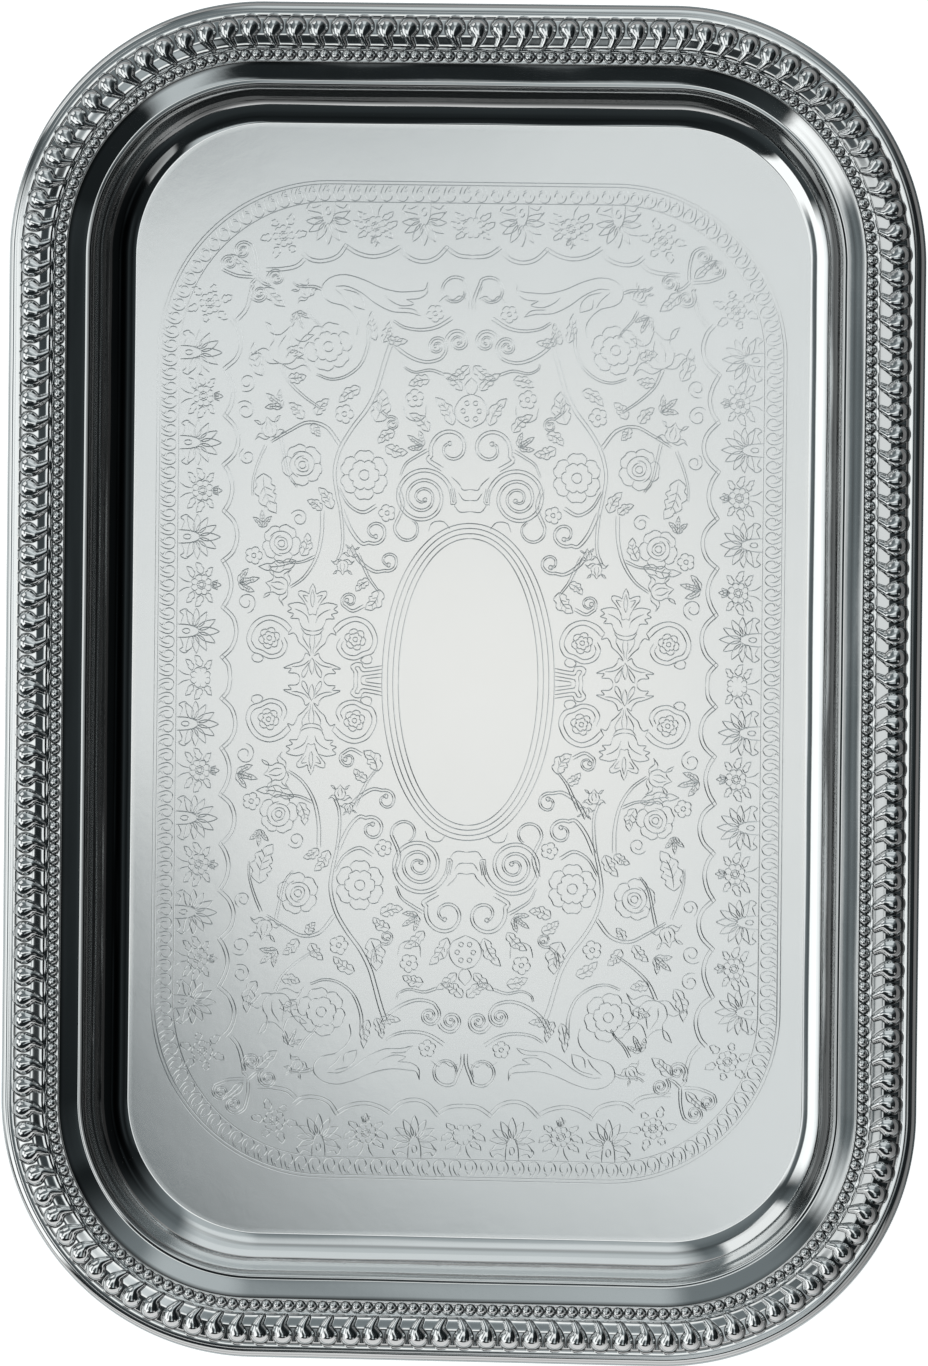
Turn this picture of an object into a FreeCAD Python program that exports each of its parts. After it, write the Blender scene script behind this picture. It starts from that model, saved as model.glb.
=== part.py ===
"""Rectangular serving salver with a gadroon and bead border, pressed and plated.

The pan is one pressed sheet: floor, cove wall, ridge, sloping shoulder, flange, and an edge rolled round a
stiffening wire.
Four die-struck gadroon strips and four beaded strips are soldered on the flange. Each covers one quarter of
the rim, from the middle of a long side round a corner to the middle of a short side, and neighbouring
quarters are mirror images, so the gadroons lean away from each other at the middle of every side.

Frame: X across the short way, Y along the long way, Z up. The origin is on the table, under the centre.
"""

import FreeCAD, Part

import math
import os

import Sketcher

# Driving dimensions, in millimetres and degrees. An inset is measured inwards from the rim's outer edge.
SIZES = {
    # plan
    "half_width": 159.0,
    "half_length": 233.0,
    "corner_radius": 88.0,
    # pan: the upper face of the sheet, from the floor outwards over the ridge to the flange
    "sheet": 0.7,
    "floor_inset": 41.8,
    "floor_lead": 3.0,
    "foot_radius": 1.5,
    "foot_turn": 18.0,
    "cove_radius": 18.7,
    "cove_turn": 62.0,
    "ridge_radius": 0.9,
    "ridge_turn": 95.0,
    "dip_run": 0.4,
    "dip_radius": 1.0,
    "dip_turn": 35.0,
    "brim_radius": 1.2,
    "brim_turn": 20.0,
    "flange_height": 18.1,
    "curl_radius": 1.35,
    "curl_turn": 300.0,
    # stiffening wire
    "wire_radius": 0.6,
    # gadroon strip
    "strip_inset": 2.85,
    "lip_width": 2.0,
    "lip_height": 1.3,
    "lip_drop": 0.6,
    "gutter_width": 0.35,
    "ovolo_width": 10.0,
    "ovolo_radius": 8.2,
    "collar_rise": 0.7,
    "collar_width": 0.7,
    # one gadroon: a round head that tapers to a tail
    "head_inset": 8.1,
    "head_radius": 3.3,
    "tail_radius": 0.95,
    "tail_reach": 6.5,
    "gadroon_height": 1.15,
    "gadroon_lean": 20.0,
    "long_side_gadroons": 19,
    "corner_gadroons": 16,
    "short_side_gadroons": 9,
    # bead strip
    "bead_base": 0.5,
    "bead_track_width": 3.7,
    "bead_lip_rise": 0.4,
    "bead_lip_width": 0.5,
    "bead_inset": 18.1,
    "bead_radius": 1.75,
    "bead_height": 0.55,
    "long_side_beads": 38,
    "corner_beads": 28,
    "short_side_beads": 18,
}

SHEET_NAME = "Sizes"
UP = FreeCAD.Vector(0, 0, 1)
# Widths across the gadroon strip, from its outer edge inwards.
GADROON_STRIP_WIDTHS = ["lip_width", "gutter_width", "ovolo_width", "gutter_width", "collar_width"]
# The right and far quarter's name, and how the other three are mirrored: (name, from which one, normal).
FIRST_QUARTER = "far_right"
OTHER_QUARTERS = [
    ("far_left", "far_right", FreeCAD.Vector(1, 0, 0)),
    ("near_left", "far_left", FreeCAD.Vector(0, 1, 0)),
    ("near_right", "far_right", FreeCAD.Vector(0, 1, 0)),
]

document = FreeCAD.newDocument("salver")


# ---------------------------------------------------------------- dimensions


def make_sheet():
    """Writes the driving dimensions to the spreadsheet, one row each, with the name as the cell's alias."""
    sheet = document.addObject("Spreadsheet::Sheet", SHEET_NAME)
    for row, (name, size) in enumerate(SIZES.items(), start=1):
        sheet.set(f"A{row}", name)
        sheet.set(f"B{row}", str(size))
        sheet.setAlias(f"B{row}", name)
    document.recompute()
    return sheet


sizes = make_sheet()


def get(name):
    """A driving dimension, read from the spreadsheet."""
    return float(sizes.get(name))


def cell(name):
    """The expression for a driving dimension."""
    return f"{SHEET_NAME}.{name}"


def less(name, *others):
    """The expression for one driving dimension minus others."""
    return " - ".join(cell(each) for each in (name, *others))


def less_value(name, *others):
    """The value of one driving dimension minus others."""
    return get(name) - sum(get(each) for each in others)


# ---------------------------------------------------------------- sketches


def point(x, y):
    """A point in a sketch."""
    return FreeCAD.Vector(x, y, 0)


def bind(sketch, kind, *arguments, to):
    """Adds a constraint that has a value, and binds the value to an expression."""
    index = sketch.addConstraint(Sketcher.Constraint(kind, *arguments))
    sketch.setExpression(f"Constraints[{index}]", to)


def tie(sketch, kind, *arguments):
    """Adds a constraint that has no value."""
    sketch.addConstraint(Sketcher.Constraint(kind, *arguments))


def origin_plane(body, role):
    """One of a body's own origin planes."""
    return next(feature for feature in body.Origin.OriginFeatures if feature.Role == role)


def body_sketch(body, name, role):
    """A sketch on one of a body's origin planes."""
    sketch = body.newObject("Sketcher::SketchObject", name)
    sketch.AttachmentSupport = [(origin_plane(body, role), "")]
    sketch.MapMode = "FlatFace"
    return sketch


def draw_outline(sketch, start, moves):
    """Draws and binds a closed outline of square corners and crowned tops.

    start is (x, x expression, y, y expression). A move is (direction, dimension) with the direction "right",
    "left", "up" or "down", or ("crown", width, radius), an arc that rises over a width to the left. The
    outline closes itself with a last vertical and a last horizontal line.
    """
    ways = {"right": (1, 0), "left": (-1, 0), "up": (0, 1), "down": (0, -1), "crown": (-1, 0)}
    x, y = start[0], start[2]
    for number, move in enumerate(moves):
        along, rise = ways[move[0]]
        length = get(move[1])
        end_x, end_y = x + along * length, y + rise * length
        if move[0] == "crown":
            radius, half = get(move[2]), length / 2
            circle = Part.Circle(point(x - half, y - math.sqrt(radius**2 - half**2)), UP, radius)
            swing = math.asin(half / radius)
            sketch.addGeometry(Part.ArcOfCircle(circle, math.pi / 2 - swing, math.pi / 2 + swing))
            bind(sketch, "Radius", number, radius, to=cell(move[2]))
            tie(sketch, "Horizontal", number, 1, number, 2)
        else:
            sketch.addGeometry(Part.LineSegment(point(x, y), point(end_x, end_y)))
            tie(sketch, "Vertical" if rise else "Horizontal", number)
        ends = (number, 1, number, 2) if along + rise > 0 else (number, 2, number, 1)
        bind(sketch, "DistanceY" if rise else "DistanceX", *ends, length, to=cell(move[1]))
        if number:
            tie(sketch, "Coincident", number - 1, 2, number, 1)
        x, y = end_x, end_y
    count = len(moves)
    sketch.addGeometry(Part.LineSegment(point(x, y), point(x, start[2])))
    sketch.addGeometry(Part.LineSegment(point(x, start[2]), point(start[0], start[2])))
    tie(sketch, "Vertical", count)
    tie(sketch, "Horizontal", count + 1)
    for number in (count, count + 1):
        tie(sketch, "Coincident", number - 1, 2, number, 1)
    tie(sketch, "Coincident", count + 1, 2, 0, 1)
    bind(sketch, "DistanceX", -1, 1, 0, 1, start[0], to=start[1])
    bind(sketch, "DistanceY", -1, 1, 0, 1, start[2], to=start[3])


def draw_ring(sketch, inset_names):
    """Draws the rim's outline in plan, set in by some of the sizes. It starts at the middle of the right side."""
    width = less_value("half_width", *inset_names)
    length = less_value("half_length", *inset_names)
    radius = less_value("corner_radius", *inset_names)
    corners = [(1, 1), (-1, 1), (-1, -1), (1, -1)]
    straights = [
        ((width, 0), (width, length - radius)),
        ((width - radius, length), (radius - width, length)),
        ((-width, length - radius), (-width, radius - length)),
        ((radius - width, -length), (width - radius, -length)),
    ]
    for number, ((right, far), (first, last)) in enumerate(zip(corners, straights)):
        sketch.addGeometry(Part.LineSegment(point(*first), point(*last)))
        circle = Part.Circle(point(right * (width - radius), far * (length - radius)), UP, radius)
        turn = number * math.pi / 2
        sketch.addGeometry(Part.ArcOfCircle(circle, turn, turn + math.pi / 2))
    sketch.addGeometry(Part.LineSegment(point(width, radius - length), point(width, 0)))
    for number in range(8):
        tie(sketch, "Tangent", number, 2, number + 1, 1)
    tie(sketch, "Coincident", 8, 2, 0, 1)
    tie(sketch, "Vertical", 0)
    tie(sketch, "Vertical", 8)
    tie(sketch, "Symmetric", 2, 1, 2, 2, -2)
    tie(sketch, "Symmetric", 4, 1, 4, 2, -1)
    for number in (3, 5, 7):
        tie(sketch, "Equal", 1, number)
    tie(sketch, "PointOnObject", 0, 1, -1)
    bind(sketch, "DistanceX", -1, 1, 0, 1, width, to=less("half_width", *inset_names))
    bind(sketch, "DistanceY", -1, 1, 2, 1, length, to=less("half_length", *inset_names))
    bind(sketch, "Radius", 1, radius, to=less("corner_radius", *inset_names))
    return sketch


def draw_quarter(sketch):
    """Draws a quarter of the rim's edge, from the middle of the right side to the middle of the far side."""
    width, length, radius = get("half_width"), get("half_length"), get("corner_radius")
    sketch.addGeometry(Part.LineSegment(point(width, 0), point(width, length - radius)))
    circle = Part.Circle(point(width - radius, length - radius), UP, radius)
    sketch.addGeometry(Part.ArcOfCircle(circle, 0, math.pi / 2))
    sketch.addGeometry(Part.LineSegment(point(width - radius, length), point(0, length)))
    tie(sketch, "Tangent", 0, 2, 1, 1)
    tie(sketch, "Tangent", 1, 2, 2, 1)
    tie(sketch, "Vertical", 0)
    tie(sketch, "Horizontal", 2)
    tie(sketch, "PointOnObject", 0, 1, -1)
    tie(sketch, "PointOnObject", 2, 2, -2)
    bind(sketch, "DistanceX", -1, 1, 0, 1, width, to=cell("half_width"))
    bind(sketch, "DistanceY", -1, 1, 2, 2, length, to=cell("half_length"))
    bind(sketch, "Radius", 1, radius, to=cell("corner_radius"))


# ---------------------------------------------------------------- pan


def draw_bends(sketch, steps):
    """Draws the tangent chain of lines and arcs that a bent sheet follows, setting out along +X.

    A step is ("run", length, dimension) or ("bend", side, radius, turn), where side is 1 for a bend to the
    left and -1 for one to the right. A run without a dimension is left free, for the caller to pin.
    """
    start_x, start_y = less_value("half_width", "floor_inset", "floor_lead"), get("sheet")
    x, y = start_x, start_y
    heading, leave = 0.0, 2
    for number, step in enumerate(steps):
        if step[0] == "run":
            entry, next_leave, length = 1, 2, step[1]
            end_x = x + length * math.cos(heading)
            end_y = y + length * math.sin(heading)
            sketch.addGeometry(Part.LineSegment(point(x, y), point(end_x, end_y)))
            if step[2]:
                bind(sketch, "Distance", number, length, to=cell(step[2]))
        else:
            side, radius, turn = step[1], get(step[2]), math.radians(get(step[3]))
            centre = point(x - side * radius * math.sin(heading), y + side * radius * math.cos(heading))
            first = heading - side * math.pi / 2
            last = first + side * turn
            circle = Part.Circle(centre, UP, radius)
            sketch.addGeometry(Part.ArcOfCircle(circle, min(first, last), max(first, last)))
            bind(sketch, "Radius", number, radius, to=cell(step[2]))
            bind(sketch, "Angle", number, turn, to=f"{cell(step[3])} * 1 deg")
            end_x = centre.x + radius * math.cos(last)
            end_y = centre.y + radius * math.sin(last)
            entry, next_leave = (1, 2) if side > 0 else (2, 1)
            heading += side * turn
        if number:
            tie(sketch, "Tangent", number - 1, leave, number, entry)
        x, y, leave = end_x, end_y, next_leave
    tie(sketch, "Horizontal", 0)
    bind(sketch, "DistanceX", -1, 1, 0, 1, start_x, to=less("half_width", "floor_inset", "floor_lead"))
    bind(sketch, "DistanceY", -1, 1, 0, 1, start_y, to=cell("sheet"))


def shoulder_run():
    """The straight part of the sloping shoulder, from what the bends leave of the flange's height."""
    foot = math.radians(get("foot_turn"))
    cove = foot + math.radians(get("cove_turn"))
    dip = cove - math.radians(get("ridge_turn"))
    shoulder = dip + math.radians(get("dip_turn"))
    rise = get("foot_radius") * (1 - math.cos(foot))
    rise += get("cove_radius") * (math.cos(foot) - math.cos(cove))
    rise += get("ridge_radius") * (math.cos(dip) - math.cos(cove))
    rise += get("dip_run") * math.sin(dip)
    rise += get("dip_radius") * (math.cos(dip) - math.cos(shoulder))
    rise += get("brim_radius") * (1 - math.cos(shoulder))
    return (less_value("flange_height", "sheet") - rise) / math.sin(shoulder)


def make_pan():
    """The pressed sheet: a closed sweep of the wall's section, with the floor let into it."""
    section = document.addObject("Sketcher::SketchObject", "wall_section")
    section.Placement.Rotation = FreeCAD.Rotation(FreeCAD.Vector(1, 0, 0), 90)
    steps = [
        ("run", get("floor_lead"), "floor_lead"),
        ("bend", 1, "foot_radius", "foot_turn"),
        ("bend", 1, "cove_radius", "cove_turn"),
        ("bend", -1, "ridge_radius", "ridge_turn"),
        ("run", get("dip_run"), "dip_run"),
        ("bend", 1, "dip_radius", "dip_turn"),
        ("run", shoulder_run(), None),
        ("bend", -1, "brim_radius", "brim_turn"),
        ("run", get("floor_inset") / 2, None),
        ("bend", -1, "curl_radius", "curl_turn"),
    ]
    draw_bends(section, steps)
    flange, curl = 8, 9
    edge = less_value("half_width", "curl_radius")
    bind(section, "DistanceX", -1, 1, curl, 3, edge, to=less("half_width", "curl_radius"))
    bind(section, "DistanceY", -1, 1, flange, 2, get("flange_height"), to=cell("flange_height"))

    wall_face = document.addObject("Part::Offset2D", "wall_face")
    wall_face.Source = section
    wall_face.Mode = "Skin"
    wall_face.Fill = True
    wall_face.setExpression("Value", f"-{cell('sheet')}")

    path = document.addObject("Sketcher::SketchObject", "wall_path")
    draw_ring(path, ["floor_inset", "floor_lead"])
    document.recompute()

    wall = document.addObject("Part::Sweep", "wall")
    wall.Sections = [wall_face]
    wall.Spine = (path, [f"Edge{number}" for number in range(1, 10)])
    wall.Solid = True
    wall.Frenet = False

    floor = document.addObject("Part::Extrusion", "floor")
    floor.Base = path
    floor.Dir = UP
    floor.Solid = True
    floor.setExpression("LengthFwd", cell("sheet"))

    pan = document.addObject("Part::Fuse", "tray_pan")
    pan.Base = wall
    pan.Tool = floor
    pan.Refine = True
    return pan


def make_wire():
    """The stiffening wire inside the rolled edge."""
    body = document.addObject("PartDesign::Body", "rim_wire")
    path = body_sketch(body, "wire_path", "XY_Plane")
    draw_ring(path, ["curl_radius"])
    section = body_sketch(body, "wire_section", "XZ_Plane")
    across, up = less_value("half_width", "curl_radius"), less_value("flange_height", "curl_radius")
    section.addGeometry(Part.Circle(point(across, up), UP, get("wire_radius")))
    bind(section, "Radius", 0, get("wire_radius"), to=cell("wire_radius"))
    bind(section, "DistanceX", -1, 1, 0, 3, across, to=less("half_width", "curl_radius"))
    bind(section, "DistanceY", -1, 1, 0, 3, up, to=less("flange_height", "curl_radius"))
    wire = body.newObject("PartDesign::AdditivePipe", "wire")
    wire.Profile = section
    wire.Spine = (path, [f"Edge{number}" for number in range(1, 10)])
    body.Tip = wire
    return body


# ---------------------------------------------------------------- border


def seat(sketch, where, inset, height, turn):
    """Binds a sketch on the XZ plane to the first place of a row: "long", "corner" or "short".

    where is (row, number in the row), inset and height place the sketch's origin, and turn, in degrees, is
    added to the rim's own direction there.
    """
    row, count = where
    width, length = cell("half_width"), cell("half_length")
    radius, count = cell("corner_radius"), cell(count)
    if row == "long":
        across = f"{width} - {cell(inset)}"
        along = f"({length} - {radius}) / {count} / 2"
        facing = "0"
    elif row == "short":
        across = f"{width} - {radius} - ({width} - {radius}) / {count} / 2"
        along = f"{length} - {cell(inset)}"
        facing = "90"
    else:
        facing = f"45 / {count}"
        across = f"{width} - {radius} + ({radius} - {cell(inset)}) * cos({facing} * 1 deg)"
        along = f"{length} - {radius} + ({radius} - {cell(inset)}) * sin({facing} * 1 deg)"
    sketch.AttachmentOffset = FreeCAD.Placement(FreeCAD.Vector(), FreeCAD.Rotation(FreeCAD.Vector(0, 1, 0), 1))
    sketch.setExpression("AttachmentOffset.Base.x", f"({across}) * 1 mm")
    sketch.setExpression("AttachmentOffset.Base.y", f"({height}) * 1 mm")
    sketch.setExpression("AttachmentOffset.Base.z", f"-({along}) * 1 mm")
    sketch.setExpression("AttachmentOffset.Rotation.Angle", f"({facing} - {turn}) * 1 deg")


def draw_gadroon(sketch):
    """Draws half the outline of a gadroon above its axis, with the middle of the head at the origin."""
    head, tail, reach = get("head_radius"), get("tail_radius"), get("tail_reach")
    slope = math.asin((head - tail) / reach)
    normal = point(-math.sin(slope), math.cos(slope))
    upright = math.pi / 2 + slope
    sketch.addGeometry(Part.ArcOfCircle(Part.Circle(point(0, 0), UP, head), 0, upright))
    sketch.addGeometry(Part.LineSegment(normal * head, point(-reach, 0) + normal * tail))
    sketch.addGeometry(Part.ArcOfCircle(Part.Circle(point(-reach, 0), UP, tail), upright, math.pi))
    sketch.addGeometry(Part.LineSegment(point(-reach - tail, 0), point(head, 0)))
    tie(sketch, "Tangent", 0, 2, 1, 1)
    tie(sketch, "Tangent", 1, 2, 2, 1)
    tie(sketch, "Coincident", 2, 2, 3, 1)
    tie(sketch, "Coincident", 3, 2, 0, 1)
    tie(sketch, "Coincident", 0, 3, -1, 1)
    tie(sketch, "PointOnObject", 2, 3, -1)
    tie(sketch, "PointOnObject", 3, 1, -1)
    tie(sketch, "PointOnObject", 3, 2, -1)
    bind(sketch, "Radius", 0, head, to=cell("head_radius"))
    bind(sketch, "Radius", 2, tail, to=cell("tail_radius"))
    bind(sketch, "DistanceX", 2, 3, -1, 1, reach, to=cell("tail_reach"))


def draw_bead(sketch):
    """Draws half the outline of a bead that sits on the flange, with its foot's middle at the origin."""
    radius, height = get("bead_radius"), get("bead_height")
    foot = math.sqrt(radius**2 - height**2)
    start = -math.asin(height / radius)
    sketch.addGeometry(Part.LineSegment(point(0, 0), point(foot, 0)))
    sketch.addGeometry(Part.ArcOfCircle(Part.Circle(point(0, height), UP, radius), start, math.pi / 2))
    sketch.addGeometry(Part.LineSegment(point(0, height + radius), point(0, 0)))
    for number in range(3):
        tie(sketch, "Coincident", number, 2, (number + 1) % 3, 1)
    tie(sketch, "Coincident", 0, 1, -1, 1)
    tie(sketch, "Horizontal", 0)
    tie(sketch, "PointOnObject", 2, 1, -2)
    tie(sketch, "PointOnObject", 1, 3, -2)
    bind(sketch, "Radius", 1, radius, to=cell("bead_radius"))
    bind(sketch, "DistanceY", -1, 1, 1, 3, height, to=cell("bead_height"))


def add_rows(body, path, kind, draw, axis, inset, height, lean):
    """Adds the three rows of one kind of ornament: the long side's, the corner's and the short side's."""
    hub = body_sketch(body, f"{kind}_hub", "XY_Plane")
    hub.setExpression("AttachmentOffset.Base.x", f"({less('half_width', 'corner_radius')}) * 1 mm")
    hub.setExpression("AttachmentOffset.Base.y", f"({less('half_length', 'corner_radius')}) * 1 mm")
    rows = {
        "long": ("PartDesign::LinearPattern", "Direction", (path, ["V_Axis"]), "half_length"),
        "corner": ("PartDesign::PolarPattern", "Axis", (hub, ["N_Axis"]), None),
        "short": ("PartDesign::LinearPattern", "Direction", (path, ["H_Axis"]), "half_width"),
    }
    for row, (pattern_type, property_name, direction, side) in rows.items():
        count = f"{row}_{kind}s" if row == "corner" else f"{row}_side_{kind}s"
        sketch = body_sketch(body, f"{row}_{kind}_outline", "XZ_Plane")
        draw(sketch)
        seat(sketch, (row, count), inset, height, lean)
        first = body.newObject("PartDesign::Revolution", f"{row}_{kind}")
        first.Profile = sketch
        first.ReferenceAxis = (sketch, [axis])
        first.Angle = 360
        document.recompute()
        pattern = body.newObject(pattern_type, f"{row}_{kind}_row")
        pattern.Originals = [first]
        setattr(pattern, property_name, direction)
        pattern.setExpression("Occurrences", cell(count))
        share = f"(1 - 1 / {cell(count)})"
        if side:
            pattern.Reversed = row == "short"
            pattern.setExpression("Length", f"({less(side, 'corner_radius')}) * {share} * 1 mm")
        else:
            pattern.setExpression("Angle", f"90 * {share} * 1 deg")
        body.Tip = pattern
        document.recompute()


def strip_body(name, start_insets, moves):
    """A body with one quarter of a border strip's plain moulding, and the path it follows."""
    body = document.addObject("PartDesign::Body", name)
    path = body_sketch(body, f"{name}_path", "XY_Plane")
    draw_quarter(path)
    section = body_sketch(body, f"{name}_section", "XZ_Plane")
    edge = less_value("half_width", *start_insets)
    start = (edge, less("half_width", *start_insets), get("flange_height"), cell("flange_height"))
    draw_outline(section, start, moves)
    moulding = body.newObject("PartDesign::AdditivePipe", f"{name}_moulding")
    moulding.Profile = section
    moulding.Spine = (path, ["Edge1", "Edge2", "Edge3"])
    body.Tip = moulding
    document.recompute()
    return body, path


def trim_foot(body):
    """Cuts away whatever lies below the flange, so that the strip sits flat on it."""
    sketch = body_sketch(body, f"{body.Name}_foot", "XY_Plane")
    sketch.setExpression("AttachmentOffset.Base.z", f"{cell('flange_height')} * 1 mm")
    far = get("half_length") + get("corner_radius")
    corners = [point(-far, -far), point(far, -far), point(far, far), point(-far, far)]
    for number, corner in enumerate(corners):
        sketch.addGeometry(Part.LineSegment(corner, corners[(number + 1) % 4]))
        tie(sketch, "Horizontal" if number % 2 == 0 else "Vertical", number)
    for number in range(4):
        tie(sketch, "Coincident", number, 2, (number + 1) % 4, 1)
    tie(sketch, "Symmetric", 0, 1, 1, 2, -1, 1)
    span = f"2 * ({cell('half_length')} + {cell('corner_radius')})"
    bind(sketch, "DistanceX", 0, 1, 0, 2, 2 * far, to=span)
    bind(sketch, "DistanceY", 1, 1, 1, 2, 2 * far, to=span)
    trim = body.newObject("PartDesign::Pocket", f"{body.Name}_trim")
    trim.Profile = sketch
    trim.Type = "ThroughAll"
    body.Tip = trim


def make_gadroon_strip():
    """One quarter of the gadroon border: a lip, a crowned moulding with the gadroons on it, and a collar."""
    moves = [
        ("up", "lip_height"),
        ("left", "lip_width"),
        ("down", "lip_drop"),
        ("left", "gutter_width"),
        ("crown", "ovolo_width", "ovolo_radius"),
        ("left", "gutter_width"),
        ("up", "collar_rise"),
        ("left", "collar_width"),
    ]
    body, path = strip_body("gadroon_strip", ["strip_inset"], moves)
    height = f"{cell('flange_height')} + {cell('gadroon_height')}"
    add_rows(body, path, "gadroon", draw_gadroon, "H_Axis", "head_inset", height, cell("gadroon_lean"))
    trim_foot(body)
    return body


def make_bead_strip():
    """One quarter of the beaded border: a row of beads on a flat track, with a lip along the inside."""
    moves = [
        ("up", "bead_base"),
        ("left", "bead_track_width"),
        ("up", "bead_lip_rise"),
        ("left", "bead_lip_width"),
    ]
    body, path = strip_body("bead_strip", ["strip_inset", *GADROON_STRIP_WIDTHS], moves)
    add_rows(body, path, "bead", draw_bead, "V_Axis", "bead_inset", cell("flange_height"), "0")
    return body


def make_quarters(body, stem):
    """The four quarters of a strip: the body itself, and its mirror images."""
    quarters = {FIRST_QUARTER: body}
    for name, source, normal in OTHER_QUARTERS:
        mirror = document.addObject("Part::Mirroring", f"{stem}_{name}")
        mirror.Source = quarters[source]
        mirror.Normal = normal
        quarters[name] = mirror
    for name, quarter in quarters.items():
        quarter.Label = f"{stem}_{name}"
    return list(quarters.values())


# ---------------------------------------------------------------- assembly


def check_document():
    """Stops with a message where a feature is in error or has no valid shape."""
    for feature in document.Objects:
        if {"Invalid", "Error"} & set(feature.State):
            raise RuntimeError(f"{feature.Name} is in error: {feature.State}")
        if hasattr(feature, "Shape") and feature.TypeId.startswith(("Part::", "PartDesign::")):
            if feature.Shape.isNull() or not feature.Shape.isValid():
                raise RuntimeError(f"{feature.Name} has no valid shape")


def export_part(part):
    """Writes one sub-part's solid to a STEP file that carries its name."""
    if len(part.Shape.Solids) != 1:
        raise RuntimeError(f"{part.Label} should be one solid and is {len(part.Shape.Solids)}")
    part.Shape.exportStep(f"parts/{part.Label}.step")
    box = part.Shape.optimalBoundingBox(False)
    print(part.Label, f"{part.Shape.Volume:.0f} mm3, up to", [round(c, 2) for c in (box.XMax, box.YMax, box.ZMax)])


def main():
    """Builds every sub-part, checks the document and writes the files."""
    parts = [make_pan(), make_wire()]
    parts += make_quarters(make_gadroon_strip(), "gadroon_border")
    parts += make_quarters(make_bead_strip(), "bead_border")
    document.recompute()
    check_document()
    os.makedirs("parts", exist_ok=True)
    for part in parts:
        export_part(part)


main()
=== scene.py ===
"""Looks of the silver salver: a pressed and plated tray with a gadroon and bead border.

Lengths are millimetres, except the camera's, and become metres where a mesh is made. An inset is measured
inwards from the rim's outer edge, and a "quarter" runs from the middle of a long side, round a corner, to the
middle of a short side.
"""
import math

import bpy
import numpy as np
from mathutils import Matrix, Vector


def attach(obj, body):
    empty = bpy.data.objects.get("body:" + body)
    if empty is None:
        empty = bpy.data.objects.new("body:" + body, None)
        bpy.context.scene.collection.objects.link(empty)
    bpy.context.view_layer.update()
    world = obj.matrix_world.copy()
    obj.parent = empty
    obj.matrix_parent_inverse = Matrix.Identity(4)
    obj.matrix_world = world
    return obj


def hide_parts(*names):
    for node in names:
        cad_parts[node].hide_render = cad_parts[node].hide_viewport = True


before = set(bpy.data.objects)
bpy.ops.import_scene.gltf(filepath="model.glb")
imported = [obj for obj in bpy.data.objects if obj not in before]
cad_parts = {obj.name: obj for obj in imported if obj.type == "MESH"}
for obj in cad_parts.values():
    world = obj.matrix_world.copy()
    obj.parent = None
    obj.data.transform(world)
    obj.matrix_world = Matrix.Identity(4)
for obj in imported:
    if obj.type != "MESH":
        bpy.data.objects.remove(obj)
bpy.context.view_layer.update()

MM = 0.001

# ---------------------------------------------------------------- sizes, as in the CAD part
HALF_WIDTH, HALF_LENGTH, CORNER = 159.0, 233.0, 88.0
SIDE, TOP = HALF_LENGTH - CORNER, HALF_WIDTH - CORNER
BEND = CORNER * math.pi / 2
QUARTER = SIDE + BEND + TOP
SHEET = 0.7
FLANGE = 18.1
FLOOR_INSET = 41.8
QUARTERS = [("far_right", 1, 1), ("far_left", -1, 1), ("near_left", -1, -1), ("near_right", 1, -1)]


def edge(s):
    """Points on the rim's outer edge and the outward normals, for distances s along the far right quarter."""
    s = np.asarray(s, float)
    a = np.clip((s - SIDE) / CORNER, 0, math.pi / 2)
    normal = np.stack([np.cos(a), np.sin(a)], -1)
    centre = np.stack([TOP - np.maximum(0, s - SIDE - BEND), SIDE + np.minimum(0, s - SIDE)], -1)
    return centre + CORNER * normal, normal


def full_ring(step_side, step_bend):
    """The whole rim, anticlockwise from the right side's middle: points, outward normals and distances."""
    side = np.linspace(0, SIDE, max(2, int(SIDE / step_side)), endpoint=False)
    bend = SIDE + np.linspace(0, BEND, int(BEND / step_bend), endpoint=False)
    top = SIDE + BEND + np.linspace(0, TOP, max(2, int(TOP / step_side)), endpoint=False)
    s = np.concatenate([side, bend, top, [QUARTER]])
    p, n = edge(s)
    points, normals, along = [], [], []
    for index, (_, sx, sy) in enumerate(QUARTERS):
        q, m, t = p * [sx, sy], n * [sx, sy], s
        if sx * sy < 0:
            q, m, t = q[::-1], m[::-1], QUARTER - t[::-1]
        points.append(q[:-1])
        normals.append(m[:-1])
        along.append(t[:-1] + index * QUARTER)
    return np.vstack(points), np.vstack(normals), np.concatenate(along)


# ---------------------------------------------------------------- small helpers


def waves(x, seed, period, count=5):
    """Smooth repeatable unevenness from -1 to 1 along x, which wraps after period."""
    rng = np.random.default_rng(seed)
    total = np.zeros_like(np.asarray(x, float))
    for k in range(count):
        turns = rng.integers(2 + 3 * k, 6 + 5 * k)
        total += rng.uniform(0.4, 1.0) * np.sin(2 * math.pi * turns * x / period + rng.uniform(0, 6.28))
    return total / count


def make_object(name, vertices, faces, material):
    """An object in the scene from millimetre vertices."""
    mesh = bpy.data.meshes.new(name)
    mesh.from_pydata((np.asarray(vertices, float) * MM).tolist(), [], faces)
    mesh.update()
    mesh.materials.append(material)
    made = bpy.data.objects.new(name, mesh)
    bpy.context.scene.collection.objects.link(made)
    return made


def make_piece(name, vertices, faces, material, slot, smooth=True):
    """A piece of the salver, riding on the part's one body."""
    made = make_object(name, vertices, faces, material)
    if smooth:
        made.data.polygons.foreach_set("use_smooth", np.ones(len(made.data.polygons), bool))
    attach(made, "root")
    return made


def point_values(made, name, values):
    """One number for each vertex, which the material reads by name."""
    layer = made.data.attributes.new(name, "FLOAT", "POINT")
    layer.data.foreach_set("value", np.asarray(values, float).reshape(-1).astype(np.float32))


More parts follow.
